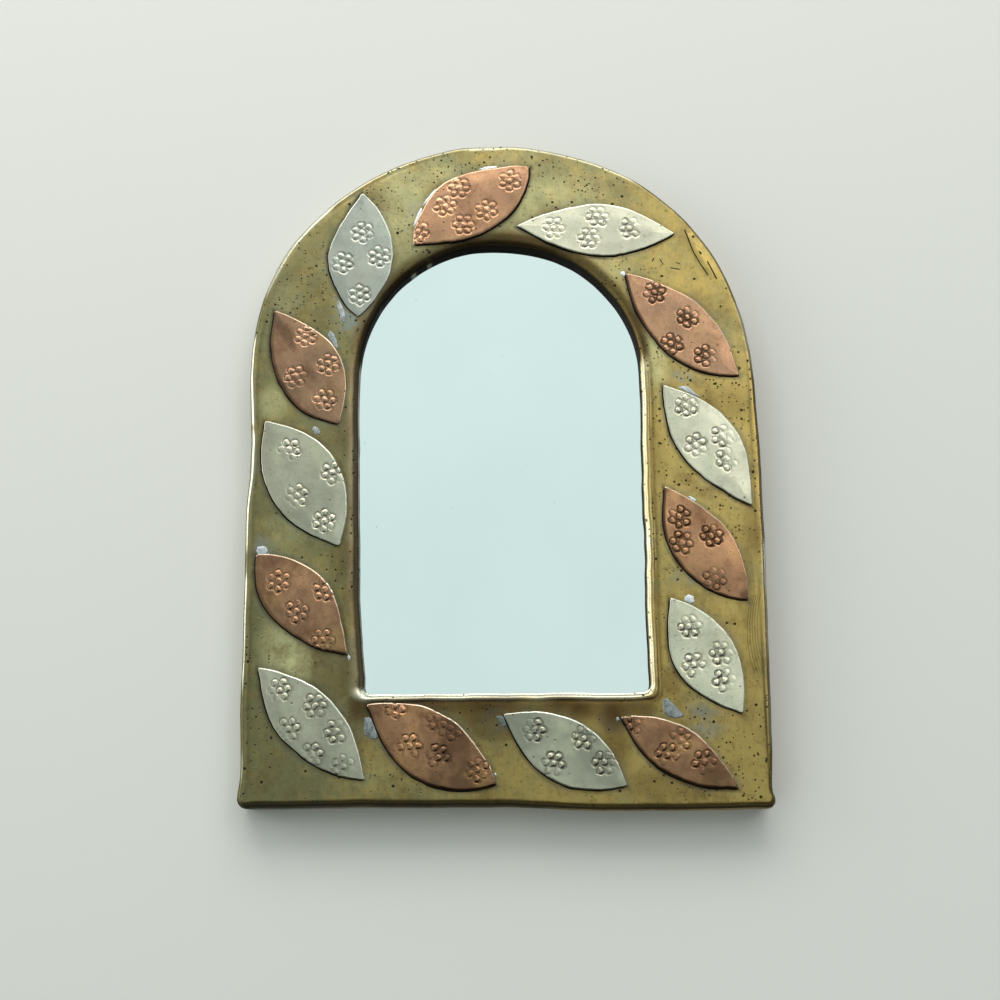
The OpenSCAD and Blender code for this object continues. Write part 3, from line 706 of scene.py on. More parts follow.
def outline(half, middle, spring, base, corner):
    """Points and outward directions round an arched outline, turning left from the middle of its base."""
    def line(start, end, away, count):
        share = np.linspace(0, 1, count, endpoint=False)[:, None]
        points = np.array(start) + (np.array(end) - start) * share
        return points, np.tile(np.array(away, float), (count, 1))

    def arc(x, y, radius, start, end, count):
        turn = np.radians(np.linspace(start, end, count, endpoint=False))
        away = np.column_stack([np.cos(turn), np.sin(turn)])
        return np.array([x, y]) + radius * away, away

    left = middle - half
    right = middle + half
    parts = [
        line((middle, base), (right - corner, base), (0, -1), BASE_STEPS),
        arc(right - corner, base + corner, corner, -90, 0, CORNER_STEPS),
        line((right, base + corner), (right, spring), (1, 0), SIDE_STEPS),
        arc(middle, spring, half, 0, 180, ARCH_STEPS),
        line((left, spring), (left, base + corner), (-1, 0), SIDE_STEPS),
        arc(left + corner, base + corner, corner, 180, 270, CORNER_STEPS),
        line((left + corner, base), (middle, base), (0, -1), BASE_STEPS),
    ]
    return np.concatenate([part[0] for part in parts]), np.concatenate([part[1] for part in parts])


def dents(x, up):
    """Unevenness of the hand-worked brass face, in millimetres."""
    height = 0.11 * ripple(x, up, 22, 11) + 0.06 * ripple(x, up, 9, 12)
    height = height + 0.018 * ripple(x, up, 3.7, 13) - 0.03
    gap, share = near_path(x, up, CREASE)
    taper = fade(share / 0.2) * fade((1 - share) / 0.2)
    return height + 0.22 * taper * np.clip(1 - (gap / 1.9) ** 2, 0, 1)


def leaf_middle(leaf):
    """The middle of a leaf's long axis, on the frame."""
    if leaf.side == "arch":
        reach = (HALF_W + OPEN_HALF_W) / 2 + leaf.out
        angle = math.radians(leaf.place)
        return reach * math.cos(angle), SIDE_H + reach * math.sin(angle)
    if leaf.side == "right":
        return (HALF_W + OPEN_X + OPEN_HALF_W) / 2 + leaf.out, leaf.place * SIDE_H
    if leaf.side == "left":
        return -(HALF_W - OPEN_X + OPEN_HALF_W) / 2 - leaf.out, leaf.place * SIDE_H
    return leaf.place * HALF_W, SILL_H / 2 - leaf.out


def corner_lean(x, up):
    """How far to the right the opening's lower left corner was bent."""
    return np.interp(up, *zip(*CORNER_LEAN)) * fade((OPEN_X - OPEN_HALF_W + 22 - x) / 18)


def outside_opening(x, up):
    """How far a place lies outside the arched opening."""
    x = x - corner_lean(x, up)
    beside = np.abs(x - OPEN_X) - OPEN_HALF_W
    below = SILL_H - up
    square = np.where((beside > 0) & (below > 0), np.hypot(beside, below), np.maximum(beside, below))
    arch = np.hypot(x - OPEN_X, up - OPEN_SPRING_H) - OPEN_HALF_W
    return np.where(up > OPEN_SPRING_H, arch, square)


def inside_frame(x, up):
    """How far a place lies inside the frame's outline."""
    return np.where(up > SIDE_H, HALF_W - np.hypot(x, up - SIDE_H), np.minimum(HALF_W - np.abs(x), up))


def arc_radius(chord, bulge):
    return (chord ** 2 / 4 + bulge ** 2) / (2 * bulge)


def from_leaf(leaf, u, v):
    """Places along and across a leaf's long axis, on the frame."""
    x, up = leaf_middle(leaf)
    turn = math.radians(leaf.turn)
    return x + u * math.cos(turn) - v * math.sin(turn), up + u * math.sin(turn) + v * math.cos(turn)


def to_leaf(leaf, x, up):
    """Places on the frame, along and across a leaf's long axis."""
    middle_x, middle_up = leaf_middle(leaf)
    dx = x - middle_x
    dy = up - middle_up
    turn = math.radians(leaf.turn)
    return dx * math.cos(turn) + dy * math.sin(turn), dy * math.cos(turn) - dx * math.sin(turn)


def leaf_edges(number, u):
    """The left and right edge of a leaf at places along its long axis."""
    leaf = LEAVES[number]
    half = leaf.length / 2
    u = np.clip(u, -half, half)
    left = arc_radius(leaf.length, leaf.left_bulge)
    right = arc_radius(leaf.length, leaf.right_bulge)
    top = leaf.left_bulge - left + np.sqrt(left ** 2 - u ** 2)
    bottom = right - leaf.right_bulge - np.sqrt(right ** 2 - u ** 2)
    fine = np.linspace(-half, half, 161)
    marks = np.concatenate([[-half], np.linspace(-0.875, 0.875, 8) * half, [half]])
    smooth = np.hanning(15) / np.hanning(15).sum()
    cuts = []
    for cut in CUTS[number]:
        values = np.interp(fine, marks, [0, *cut, 0])
        cuts.append(np.interp(u, fine, np.convolve(np.pad(values, 7, mode="edge"), smooth, "valid")))
    closing = fade((half - np.abs(u)) / 1.5)
    return top + cuts[0] * closing, bottom - cuts[1] * closing


def outside_leaf(number, x, up):
    """About how far a place lies outside a leaf's edge. Less than 0 is inside."""
    u, v = to_leaf(LEAVES[number], x, up)
    half = LEAVES[number].length / 2
    top, bottom = leaf_edges(number, u)
    beside = 0.88 * np.maximum(v - top, bottom - v)
    return np.where(np.abs(u) > half, np.hypot(np.abs(u) - half, v), beside)


def around(outer, down, tables, base, blur, column=1):
    """Values read along the arch, the two sides and the base, blended round the whole outline."""
    x, up = outer.T
    places = (np.degrees(np.arctan2(up - SIDE_H, x)), up, up)
    on_arch, on_left, on_right = (np.interp(place, [row[0] for row in table], [row[column] for row in table])
                                  for place, table in zip(places, tables))
    value = np.where(up > SIDE_H, on_arch, np.where(x < 0, on_left, on_right))
    value = value * (1 - down) + base * down
    smooth = np.hanning(2 * blur + 1)
    value = np.concatenate([value[-blur:], value, value[:blur]])
    return np.convolve(value, smooth / smooth.sum(), "valid")


def brass_sheet():
    """The whole sheet as one closed skin: hem, skirt, rolled edge, face, rolled lip and inner side."""
    outer, outer_away = outline(HALF_W, 0, SIDE_H, 0, CORNER_R)
    inner, inner_away = outline(OPEN_HALF_W, OPEN_X, OPEN_SPRING_H, SILL_H, OPEN_CORNER_R)
    round_arch = np.degrees(np.arctan2(inner[:, 1] - OPEN_SPRING_H, inner[:, 0] - OPEN_X))
    inner[:, 0] += corner_lean(*inner.T)

    # The lip is rolled softly over the arch and on the left, and tighter on the right and the sill.
    arched = fade((inner[:, 1] - OPEN_SPRING_H + 1) / 8)
    soft = np.maximum(fade(0.5 - 0.55 * inner_away[:, 0] + 0.35 * inner_away[:, 1]), 0.75 * arched)
    lip_w = 2.1 + 2.2 * soft + 0.25 * ripple(*inner.T, 9, 21)
    lip_d = 2.2 + 0.5 * soft

    # The outline as it was cut and bent: a fuller left shoulder, pinched lower corners and a wavy edge.
    down = fade(-outer_away[:, 1]) * (outer[:, 1] < CORNER_R)
    shines = (ARCH_SHINE, LEFT_SHINE, RIGHT_SHINE)
    on_base = np.interp(outer[:, 0], *zip(*BASE_PUSH))
    worked = around(outer, down, (ARCH_PUSH, LEFT_PUSH, RIGHT_PUSH), on_base, 6)
    shine = around(outer, down, shines, 0, 2)
    broad = around(outer, down, shines, 1.3, 4, column=2)
    to_corner = np.hypot(np.abs(outer[:, 0]) - HALF_W, outer[:, 1])
    outer_push = worked + 0.7 * np.exp(-(to_corner / 2) ** 2)
    outer_push = outer_push + 0.15 * ripple(*outer.T, 24, 24) + 0.1 * ripple(*outer.T, 7, 25)
    edge_w = 1.0 + 1.1 * broad
    edge_d = 1.1 + 0.9 * broad
    inner_push = 0.22 * ripple(*inner.T, 15, 26) + 0.12 * ripple(*inner.T, 4.5, 27)
    inner_push = inner_push - 0.9 * np.exp(-((round_arch - 84) / 28) ** 2)

    # Each row goes all round the frame: its places, its height, how far it follows the outer and the inner
    # outline as they were worked, its wear and painted highlight, its grime and painted shade, and whether it
    # lies in front.
    rows = []

    def add(flat, height, of_outer, of_inner, wear_and_highlight=0.0, grime_and_shade=0.0, front=1.0):
        none = np.zeros(len(flat))
        rows.append((flat, height + none, of_outer, of_inner, wear_and_highlight + none, grime_and_shade + none, front + none))

    def edge(out, height, wear_and_highlight=0.0, grime_and_shade=0.0, front=1.0):
        out = np.reshape(out + np.zeros(len(outer)), (-1, 1))
        add(outer + outer_away * out, height, 1, 0, wear_and_highlight, grime_and_shade, front)

    def lip(out, height, wear_and_highlight=0.0, grime_and_shade=0.0, front=1.0):
        out = np.reshape(out + np.zeros(len(inner)), (-1, 1))
        add(inner + inner_away * out, height, 0, 1, wear_and_highlight, grime_and_shade, front)

    # The hem, the skirt and the rolled edge. The roll gets a painted highlight where the tables give one and
    # a painted dark reflection elsewhere, darkest along the base and at the top of the skirt, with a line of
    # light along the base's roll.
    hem = [(-HEM_T, HEM_H - 0.1), (-HEM_T, 0.2), (-1.14, 0.06), (-1, 0), (-0.2, 0), (-0.06, 0.06)]
    for out, height in hem:
        edge(out, height, front=0)
    for share in np.linspace(0, 1, 4):
        edge(0, 0.2 + (FACE - edge_d - 0.2) * share, grime_and_shade=0.9 * share ** 4)
    line = down * (0.25 + 0.6 * fade((outer[:, 0] - 8) / 12))
    for turn in np.radians(np.linspace(0, 90, 13)[1:]):
        dark = shine * 0.9 * fade((0.75 - turn) / 0.35) + (1 - shine) * 0.8 * fade((1.35 - turn) / 0.7)
        dark = np.maximum(dark, down * 0.92 * fade((1.5 - turn) / 0.6))
        dark = dark * (1 - line * np.exp(-((turn - 0.42) / 0.13) ** 2))
        bright = shine * np.exp(-((turn - 0.98) / 0.36) ** 2)
        edge(-edge_w * (1 - math.cos(turn)), FACE - edge_d * (1 - math.sin(turn)), bright, dark)

    # The face, with closer rows near its two edges.
    rim = outer - outer_away * edge_w[:, None]
    brim = inner + inner_away * lip_w[:, None]
    across = np.hypot(*(brim - rim).T)
    near = (0.35, 0.7, 1.1, 1.5, 2.0, 2.6)
    shares = [gap / across for gap in near]
    shares += [(3.2 + (across - 6.4) * share) / across for share in np.linspace(0, 1, 33)]
    shares += [1 - gap / across for gap in near[::-1]]
    for share in shares:
        flat = rim + (brim - rim) * share[:, None]
        add(flat, FACE, (1 - share) ** 2, share ** 2)

    # The rolled lip down to the glass, with a painted highlight on its roll, strongest on the sill, and
    # near-black painted shade on its steep part and on the walls down to the glass.
    sill = fade(-2 * inner_away[:, 1])
    right = fade(inner_away[:, 0] * 1.4) * (1 - sill) * (1 - arched)
    left = fade(-inner_away[:, 0] * 1.4) * (1 - sill) * (1 - arched)
    lip_shine = 0.95 * sill + 0.5 * right + 0.12 * left
    for turn in np.radians(np.linspace(90, 0, 12)):
        bright = lip_shine * np.exp(-((turn - 0.75) / 0.5) ** 2)
        dark = (0.95 - 0.8 * left) * fade((0.42 + 0.36 * arched - turn) / 0.3)
        lip(lip_w * (1 - math.cos(turn)), FACE - lip_d * (1 - math.sin(turn)), bright, dark)
    for share in (0.3, 0.6, 0.72, 1):
        lip(0, FACE - lip_d + (GLASS_FRONT - FACE + lip_d) * share, grime_and_shade=1 - 0.8 * left * (share < 0.7))

    # The sheet's inner side, from the lip back to the hem.
    lip(SHEET, GLASS_FRONT, front=0)
    lip(SHEET, FACE - lip_d - 0.3, front=0)
    for turn in np.radians(np.linspace(0, 90, 4)):
        height = FACE - lip_d + (lip_d - SHEET) * math.sin(turn)
        lip(lip_w - (lip_w - SHEET) * math.cos(turn), height, front=0)
    for share in (0.33, 0.67):
        add(brim + (rim - brim) * share, FACE - SHEET, share ** 2, (1 - share) ** 2, front=0)
    for turn in np.radians(np.linspace(90, 0, 4)):
        height = FACE - edge_d + (edge_d - SHEET) * math.sin(turn)
        edge(-edge_w + (edge_w - SHEET) * math.cos(turn), height, front=0)
    edge(-SHEET, HEM_H + 2, front=0)
    edge(-SHEET - 0.05, HEM_H, front=0)
    edge(-HEM_T + 0.1, HEM_H, front=0)

    points = placed_rows(rows, outer_away, inner_away, outer_push, inner_push, soft)
    wear_and_highlight, grime_and_shade, front = (np.concatenate(part) for part in list(zip(*rows))[4:])
    ways = [np.tile(value, len(rows)) for value in (soft, sill, arched, right)]
    paints = sheet_paints(points, wear_and_highlight, grime_and_shade, front, *ways)
    faces = grid_faces(len(rows), len(outer), wrap_rows=True, wrap_columns=True)
    piece = make_piece("brass_sheet", points, faces, brass, paints=paints)
    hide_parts("brass_face")


def placed_rows(rows, outer_away, inner_away, outer_push, inner_push, soft):
    """The points of the sheet's rows, pushed to the worked outlines and with the face's unevenness."""
    points = []
    for flat, height, of_outer, of_inner, *_ in rows:
        depth = fade(height / FACE)
        push = outer_away * (outer_push * of_outer * (0.5 + 0.5 * depth))[:, None]
        push = push + inner_away * (inner_push * of_inner)[:, None]
        gap = outside_opening(*flat.T)
        bead = 0.2 * np.exp(-((gap - 1.3) / 0.7) ** 2) - 0.14 * np.exp(-((gap - 2.7) / 0.5) ** 2)
        gap = inside_frame(*flat.T)
        groove = 0.08 * np.exp(-((gap - 1.9) / 0.5) ** 2) * fade(-1.5 * outer_away[:, 0])
        flat = flat + push
        height = height + (dents(*flat.T) + bead * (1 - 0.9 * soft) - groove) * fade((height - 8) / 4)
        points.append(np.column_stack([flat, height]))
    return np.concatenate(points)


def sheet_paints(points, wear_and_highlight, grime_and_shade, front, soft, sill, arched, right):
    """Tones of the sheet: olive at the upper left and golden at the right, partly painted reflection, brown
    by the lip and below the sill, partly painted shade by the lip, and dark beside the leaves, dirt with
    their painted shadow."""
    x, up, height = points.T
    gap = outside_opening(x, up)
    on_face = height > FACE - 1
    # The olive-to-golden sweep, golden towards the lower right, is partly the brass's tone and partly painted
    # reflection, brighter on the right.
    golden = 0.5 + 0.42 * np.tanh((x - 0.35 * (up - 60)) / 45) + 0.14 * ripple(x, up, 17, 31)

    # Brown by the lip, partly painted shade of its roll, under the sill and in the stains.
    uneven = 0.75 + 0.25 * ripple(x, up, 8, 32)
    brown = fade(1 - (gap - 1.2) / 4.5) * (0.1 + 0.7 * soft) * uneven
    brown = np.maximum(brown, 0.85 * arched * fade(1 - (gap - 2) / 3.2) * uneven)
    brown = np.maximum(brown, 0.16 * fade((75 - up) / 40))
    under_sill = fade((SILL_H + 1 - up) / 3) * fade(1 - (gap - 2.6) / 13) * fade((48 - np.abs(x + 1)) / 6)
    brown = np.maximum(brown, under_sill * uneven)
    grime_and_shade = np.maximum(grime_and_shade, 0.22 * under_sill * uneven)
    fringe = 0.25 * ripple(x, up, 9, 35)
    for *spot, depth in STAINS:
        brown = np.maximum(brown, depth * fade((1.15 - (spot_gap(x, up, *spot) + fringe)) / 0.3))

    # The paler and darker places. The paler ones are duller within a water mark at the lower left, whose left
    # edge is sharp.
    pale = np.zeros(len(x))
    fringe = 0.15 * ripple(x, up, 9, 38)
    for *spot, depth in PATCHES:
        patch = depth * fade(1.35 - (spot_gap(x, up, *spot) + fringe))
        pale = pale + np.maximum(patch, 0)
        brown = brown + np.maximum(-patch, 0)
    water_mark = fade((x + 57) / 0.8) * fade((-48 - x) / 3) * fade((60 - up) / 3)
    pale = pale * (1 - 0.55 * water_mark)
    haze = np.zeros(len(x))
    for *spot, depth in FILMS:
        haze = np.maximum(haze, depth * fade(1.2 - spot_gap(x, up, *spot)))

    # Brown and dark lines round the lip and along the right edge, with painted shade down the lip toward the
    # glass, dirt with painted shadow beside the leaves, darker on their lower side, and two burrs bare of
    # them.
    within = fade((FACE - 0.6 - height) / 1.2) * (gap < 3)
    brown = np.maximum(brown, within * (0.2 + 0.8 * soft) * (1 - sill))
    furrow = np.exp(-((gap - 3.2) / 0.8) ** 2) * (1 - 0.9 * soft) * (1 - 0.5 * right)
    brown = np.maximum(brown, 0.7 * furrow * (up < SIDE_H + 30))
    seam = np.exp(-((gap - 2.35) / 0.22) ** 2) * (1 - soft) * (1 - arched)
    seam = seam * (0.8 + 0.3 * ripple(x, up, 6, 36))
    grime_and_shade = np.maximum(grime_and_shade, 0.75 * seam * (1 - 0.6 * sill))
    scored = np.interp(up, *zip(*SCORED)) * (x > 60) * (0.8 + 0.4 * ripple(x, up, 9, 37))
    scored = scored * np.exp(-((inside_frame(x, up) - 1.6) / 0.35) ** 2)
    grime_and_shade = np.maximum(grime_and_shade, scored * on_face)
    for burr_x, burr_up in BURRS:
        burr = fade(1.4 - np.hypot(x - burr_x, up - burr_up) / 1.1) * (height < FACE - 0.5)
        grime_and_shade = grime_and_shade * (1 - 0.8 * burr)
        brown = brown * (1 - 0.6 * burr)
    patchy = 0.7 + 0.3 * ripple(x, up, 5, 33)
    for number, leaf in enumerate(LEAVES):
        away = outside_leaf(number, x, up)
        haze = np.maximum(haze, 0.2 * fade(1.2 - away / 2.2))
        side = np.where(to_leaf(leaf, x, up)[1] < 0, 0.8, 0.3)
        grime_and_shade = np.maximum(grime_and_shade, side * fade(1 - (away - 0.3) / 1.2) * patchy)
    wear_and_highlight = wear_and_highlight * (0.85 + 0.25 * ripple(x, up, 11, 34)) * front
    return {
        "haze": haze * on_face,
        "golden": golden,
        "pale": np.clip(pale, 0, 1) * front * on_face,
        "brown": np.clip(brown, 0, 1) * front,
        "grime_and_shade": np.clip(grime_and_shade * front + 0.45 * (1 - front), 0, 1),
        "wear_and_highlight": np.clip(wear_and_highlight, 0, 1),
        "hidden": 1 - front,
    }


# The leaves

# Bumps of one flower, how far one may lie from its place, the spacing of a leaf's points, and the leaf,
# counted from 0, whose right-hand edge catches the light too.
PETALS = 7
PETAL_SHIFT = 0.22
LEAF_STEP = 0.22
LIT_BOTH_EDGES = 0


def leaf_name(number):
    return f"{LEAVES[number].metal}_leaf_{number + 1}"


def struck(number, u, v):
    """Relief of a leaf's flowers, and how far each place lies in their sunken ground, which is painted dark
    with dirt and painted shade.
    """
    ground = np.zeros(np.shape(u))
    dome = np.zeros(np.shape(u))
    for at_u, at_v, turn, depth, slant, lean in STAMPS[number]:
        for petal in range(PETALS):
            ring = 0 if petal == 0 else FLOWER_RING
            angle = math.radians(turn + 60 * petal)
            shift_u, shift_v = (PETAL_SHIFT * float(ripple(at * 5 + petal, number, 0.7, seed))
                                for at, seed in ((at_u, 44), (at_v, 45)))
            pu = at_u + ring * math.cos(angle) + shift_u
            pv = at_v + ring * math.sin(angle) + shift_v
            force = depth
            if petal:
                force = depth * (1 + slant * math.cos(angle - math.radians(lean)))
            uneven = float(ripple(pu * 3.1, pv * 3.1 + 50 * number, 4, 41))
            force = min(1.2, force * (1 + 0.45 * uneven))
            gap = np.hypot(u - pu, v - pv)
            gap = gap + 0.2 * ripple(u * 3, v * 3 + 9 * petal, 2.2, 43)
            ground = np.maximum(ground, force * fade((DOME_R + 0.6 - gap) / 0.6))
            dome = np.maximum(dome, force * np.clip(1 - (gap / DOME_R) ** 2, 0, 1) ** 0.8)
    dirt = TONES[number][2]
    dirt_and_shade = (0.5 + 0.5 * dirt) * np.clip(ground - 1.5 * dome, 0, 1) + 0.4 * dirt * np.clip(ground, 0, 1)
    return DOME_H * dome - STRUCK_DEPTH * ground, dirt_and_shade


def cut_waver(along, number, seed):
    """Small unevenness of a leaf's cut edge."""
    return 0.08 * ripple(along, 9 * number, 3, seed) + 0.06 * ripple(along, 9 * number, 1.3, seed + 1)


def leaf_piece(number):
    """One leaf: a cut sheet with softened edges that lies on the uneven face, struck with its flowers."""
    leaf = LEAVES[number]
    is_copper = leaf.metal == "copper"
    half = leaf.length / 2

    # A grid of points between the two cut edges, closer near the edges and the tips.
    ends = np.array([0, 0.08, 0.2, 0.4, 0.65]) + 0.2
    inner = np.linspace(1.1, leaf.length - 1.1, int(leaf.length / LEAF_STEP))
    along = np.concatenate([ends, inner, leaf.length - ends[::-1]]) - half
    top, bottom = leaf_edges(number, along)
    top = top + np.minimum(1, top) * cut_waver(along, number, 51)
    bottom = bottom - np.minimum(1, -bottom) * cut_waver(along, number, 53)
    width = top - bottom
    margin = np.array([0, 0.07, 0.16, 0.3, 0.5])
    narrow = np.minimum(margin[-1], width * 0.14)
    shares = np.linspace(0, 1, int(width.max() / LEAF_STEP))[1:-1]
    columns = [narrow * share / margin[-1] for share in margin]
    columns += [narrow + (width - 2 * narrow) * share for share in shares]
    columns += [width - narrow * share / margin[-1] for share in margin[::-1]]
    v = bottom[:, None] + np.array(columns).T
    u = np.tile(along[:, None], (1, v.shape[1]))
    x, up = from_leaf(leaf, u, v)

    # Its relief: rounded edges, rolled further on the copper leaves, the flowers and a slight crown.
    from_end = np.minimum(u + half, half - u) * 0.8
    from_top = np.minimum(top[:, None] - v, from_end)
    from_bottom = np.minimum(v - bottom[:, None], from_end)
    upper = fade((2 - u) / 4) * (number == LIT_BOTH_EDGES)
    rolled = 1.1 if is_copper else 0.4
    softened = -0.24 * np.clip(1 - from_top / 0.5, 0, 1) ** 2
    softened = softened - 0.2 * np.clip(1 - from_bottom / rolled, 0, 1) ** 2
    relief, dirt_and_shade = struck(number, u, v)
    crown = 0.1 * fade(np.minimum(from_top, from_bottom) / 5) - 0.03
    height = FACE + dents(x, up) + LEAF_T + softened + relief + crown + 0.02 * ripple(x, up, 6, 55)

    # The foot stands out a little on the right-hand side, where flux and dirt fill the joint, which is
    # painted near-black there as dirt and painted shadow.
    rows, count = u.shape
    points = np.stack([x, up, height], -1).reshape(-1, 3)
    rim = grid_rim(rows, count)
    rim_u = u.ravel()[rim]
    rim_v = v.ravel()[rim]
    lower = fade(0.5 - rim_v / 2) * (1 - upper.ravel()[rim])
    spread = lower * (0.52 + 0.14 * ripple(rim_u, rim_v, 3, 57))
    spread = spread * fade((half - np.abs(rim_u)) / 1.5 + 0.3)
    foot_x, foot_up = from_leaf(leaf, rim_u * (1 + 0.1 / half), rim_v - spread)
    foot = np.column_stack([foot_x, foot_up, FACE + dents(foot_x, foot_up) - 0.06])
    feet = list(range(len(points), len(points) + len(rim)))
    faces = grid_faces(rows, count).tolist()
    faces += [list(wall) for wall in zip(rim, feet, feet[1:] + feet[:1], rim[1:] + rim[:1])]
    faces.append(feet)
    points = np.concatenate([points, foot])

    # Dirt and painted dark reflection along the lower edge, heavier on the copper leaves, tarnish in the
    # tarnished places, and a painted highlight on the bright cut edge.
    stained = 0.9 if is_copper else 0.25
    dirt_and_shade = np.maximum(dirt_and_shade, stained * np.clip(1 - from_bottom / rolled, 0, 1))
    fringe = 0.3 * ripple(x * 1.6, up, 4, 59)
    for leaf_number, *spot, depth in TARNISH:
        if leaf_number == number + 1:
            dirt_and_shade = np.maximum(dirt_and_shade, depth * fade(1.3 - (spot_gap(u, v, *spot) + fringe)))
    # Near-black along the lower edge and round the foot, darkest on the lower side: dirt and painted shadow.
    joint_and_shadow = (np.clip(1 - from_bottom / 0.1, 0, 1) * (1 - upper)).ravel()
    # A painted highlight on the upper cut edge, and on both edges near the upper end of one leaf.
    edge = np.clip(1.3 - np.minimum(from_top, from_bottom + 9 * (1 - upper)) / 0.36, 0, 1)
    edge = edge * (0.85 + 0.3 * ripple(x, up, 4, 58))
    # The sheet's brightness: partly tarnish, partly painted reflection.
    bright, grey, _ = TONES[number]
    none = np.zeros(len(rim))
    paints = {
        "light": np.full(len(points), bright),
        "grey": np.full(len(points), grey),
        "dirt_and_shade": np.clip(np.concatenate([dirt_and_shade.ravel(), none]), 0, 1),
        "edge": np.clip(np.concatenate([edge.ravel() * (1 - joint_and_shadow), none]), 0, 1),
        "joint_and_shadow": np.concatenate([joint_and_shadow, 0.45 + 0.55 * lower]),
    }
    piece = make_piece(f"stamped_{leaf_name(number)}", points, faces, leaf_metals[leaf.metal],
                       paints=paints)
    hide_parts(leaf_name(number))


# Solder

def solder_runs():
    """Thin uneven patches of solder that ran out from under the leaves, each of rings round its middle."""
    points = []
    faces = []
    light = []
    spokes = 48
    rings = 7
    for leaf_number, bright, corners in SOLDER:
        leaf = LEAVES[leaf_number - 1]
        corners = np.array(corners + corners[:1], float)
        walked = np.concatenate([[0], np.cumsum(np.hypot(*np.diff(corners, axis=0).T))])
        at = np.linspace(0, walked[-1], spokes, endpoint=False)
        rim = np.column_stack([np.interp(at, walked, line) for line in corners.T])
        rim = (np.roll(rim, 1, 0) + 2 * rim + np.roll(rim, -1, 0)) / 4
        middle = rim.mean(axis=0)
        outward = rim - middle
        outward = outward / np.hypot(*outward.T)[:, None]
        rim = rim + 0.16 * outward * ripple(rim[:, 0] * 2, rim[:, 1] * 2, 1.1, 61)[:, None]
        start = len(points)
        for ring in range(rings):
            share = 1 - ring / rings
            x, up = from_leaf(leaf, *(middle + (rim - middle) * share).T)
            thick = 0.13 * (1 - share ** 4) + 0.03 * ripple(x, up, 0.9, 63) * (1 - share)
            points.extend(np.column_stack([x, up, FACE + dents(x, up) + thick - 0.02]).tolist())
        x, up = from_leaf(leaf, middle[:1], middle[1:])
        points.append([float(x[0]), float(up[0]), float(FACE + dents(x, up)[0] + 0.12)])
        faces.extend((grid_faces(rings, spokes, wrap_columns=True) + start).tolist())
        last = start + (rings - 1) * spokes
        for place in range(spokes):
            faces.append([last + place, last + (place + 1) % spokes, len(points) - 1])
        faces.append([start + place for place in range(spokes - 1, -1, -1)])
        light.extend([bright] * (len(points) - start))
    piece = make_piece("solder_runs", np.array(points), faces, solder, paints={"light": light})
    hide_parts("solder_patches")


# Back fittings

# The turn that stands for the two clips on the base, which point up.
BASE_TURN = -90


def bent_clips():
    """Eight strips soldered inside the hem and bent over the board, with rounded, slightly sprung ends."""
    inside = -CLIP_T / 2
    bend = BOARD_BACK - 1.3
    path = [(inside, 0.35), (inside, bend)]
    for turn in np.radians(np.linspace(0, 90, 7)):
        path.append((inside - 0.6 * (1 - math.cos(turn)), bend + 0.8 * math.sin(turn) + 0.25))
    tongue = [(-2, 0.26), (-3.4, 0.28), (-4.6, 0.27), (-5.3, 0.3), (-5.7, 0.34), (-5.9, 0.4)]
    path = np.array(path + [(out, BOARD_BACK - below) for out, below in tongue])
    widths = np.full(len(path), 3.0)
    widths[-4:] = (2.9, 2.6, 2.1, 1.5)
    normal = strip_normals(path)
    across = np.linspace(-1, 1, 9)

    # Each clip's place, how far out it starts, its side and its turn: two up each side, two on the arch and
    # two on the base.
    hem_x = HALF_W - HEM_T
    places = [(0, share * SIDE_H, hem_x, flip, 0) for flip in (1, -1) for share in (0.25, 0.8)]
    places += [(0, SIDE_H, hem_x, 1, turn) for turn in (45, 135)]
    places += [(share * HALF_W, HEM_T, 0, 1, BASE_TURN) for share in (-0.5, 0.5)]
    points = []
    faces = []
    for x0, up0, reach, flip, turn in places:
        angle = math.radians(turn)
        base = len(points)
        for side in (1, -1):
            for place, (out, height) in enumerate(path + side * CLIP_T / 2 * normal):
                for share in across:
                    round_over = 0.06 if abs(share) == 1 else 0.0
                    r = (reach + out) * flip
                    w = share * widths[place]
                    x = x0 + r * math.cos(angle) - w * math.sin(angle)
                    up = up0 + r * math.sin(angle) + w * math.cos(angle)
                    if turn == BASE_TURN:
                        x = x0 + w
                        up = up0 - out
                    points.append([x, up, height - side * normal[place][1] * round_over])
        faces += [[base + corner for corner in face] for face in strip_faces(len(path), len(across))]
    piece = make_piece("bent_board_clips", np.array(points), faces, strip_brass)
    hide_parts("board_clips")


def rolled_strap():
    """The hanger's strap: a tongue with rounded lower corners, rolled round the ring's bar."""
    middle = RING_AXIS_OUT + BARREL_R + STRAP_T / 2
    radius = middle - RING_AXIS_OUT
    end = RING_AXIS_UP - STRAP_LEN
    path = [(end, middle), (end + 0.3, middle), (end + 0.8, middle), (end + 1.5, middle)]
    path += [(RING_AXIS_UP - share, middle) for share in (3.5, 1.5)]
    for turn in np.radians(np.linspace(90, -192, 40)):
        path.append((RING_AXIS_UP + radius * math.cos(turn), RING_AXIS_OUT + radius * math.sin(turn)))
    path = np.array(path)
    half_t = STRAP_T / 2 - 0.01
    widths = np.full(len(path), STRAP_W / 2)
    widths[:4] = (STRAP_W / 2 - 1.3, STRAP_W / 2 - 0.7, STRAP_W / 2 - 0.25, STRAP_W / 2)
    across = np.linspace(-1, 1, 25)
    points = []
    for side in (1, -1):
        for width, (up, height) in zip(widths, path + side * half_t * strip_normals(path)):
            points += [[share * width, up, height] for share in across]
    faces = strip_faces(len(path), len(across))
    piece = make_piece("rolled_strap", np.array(points), faces, hanger_brass)
    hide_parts("hanger_strap")


def dress(node, material):
    """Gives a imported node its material."""
    for slot in nodes[node].material_slots:
        slot.material = material


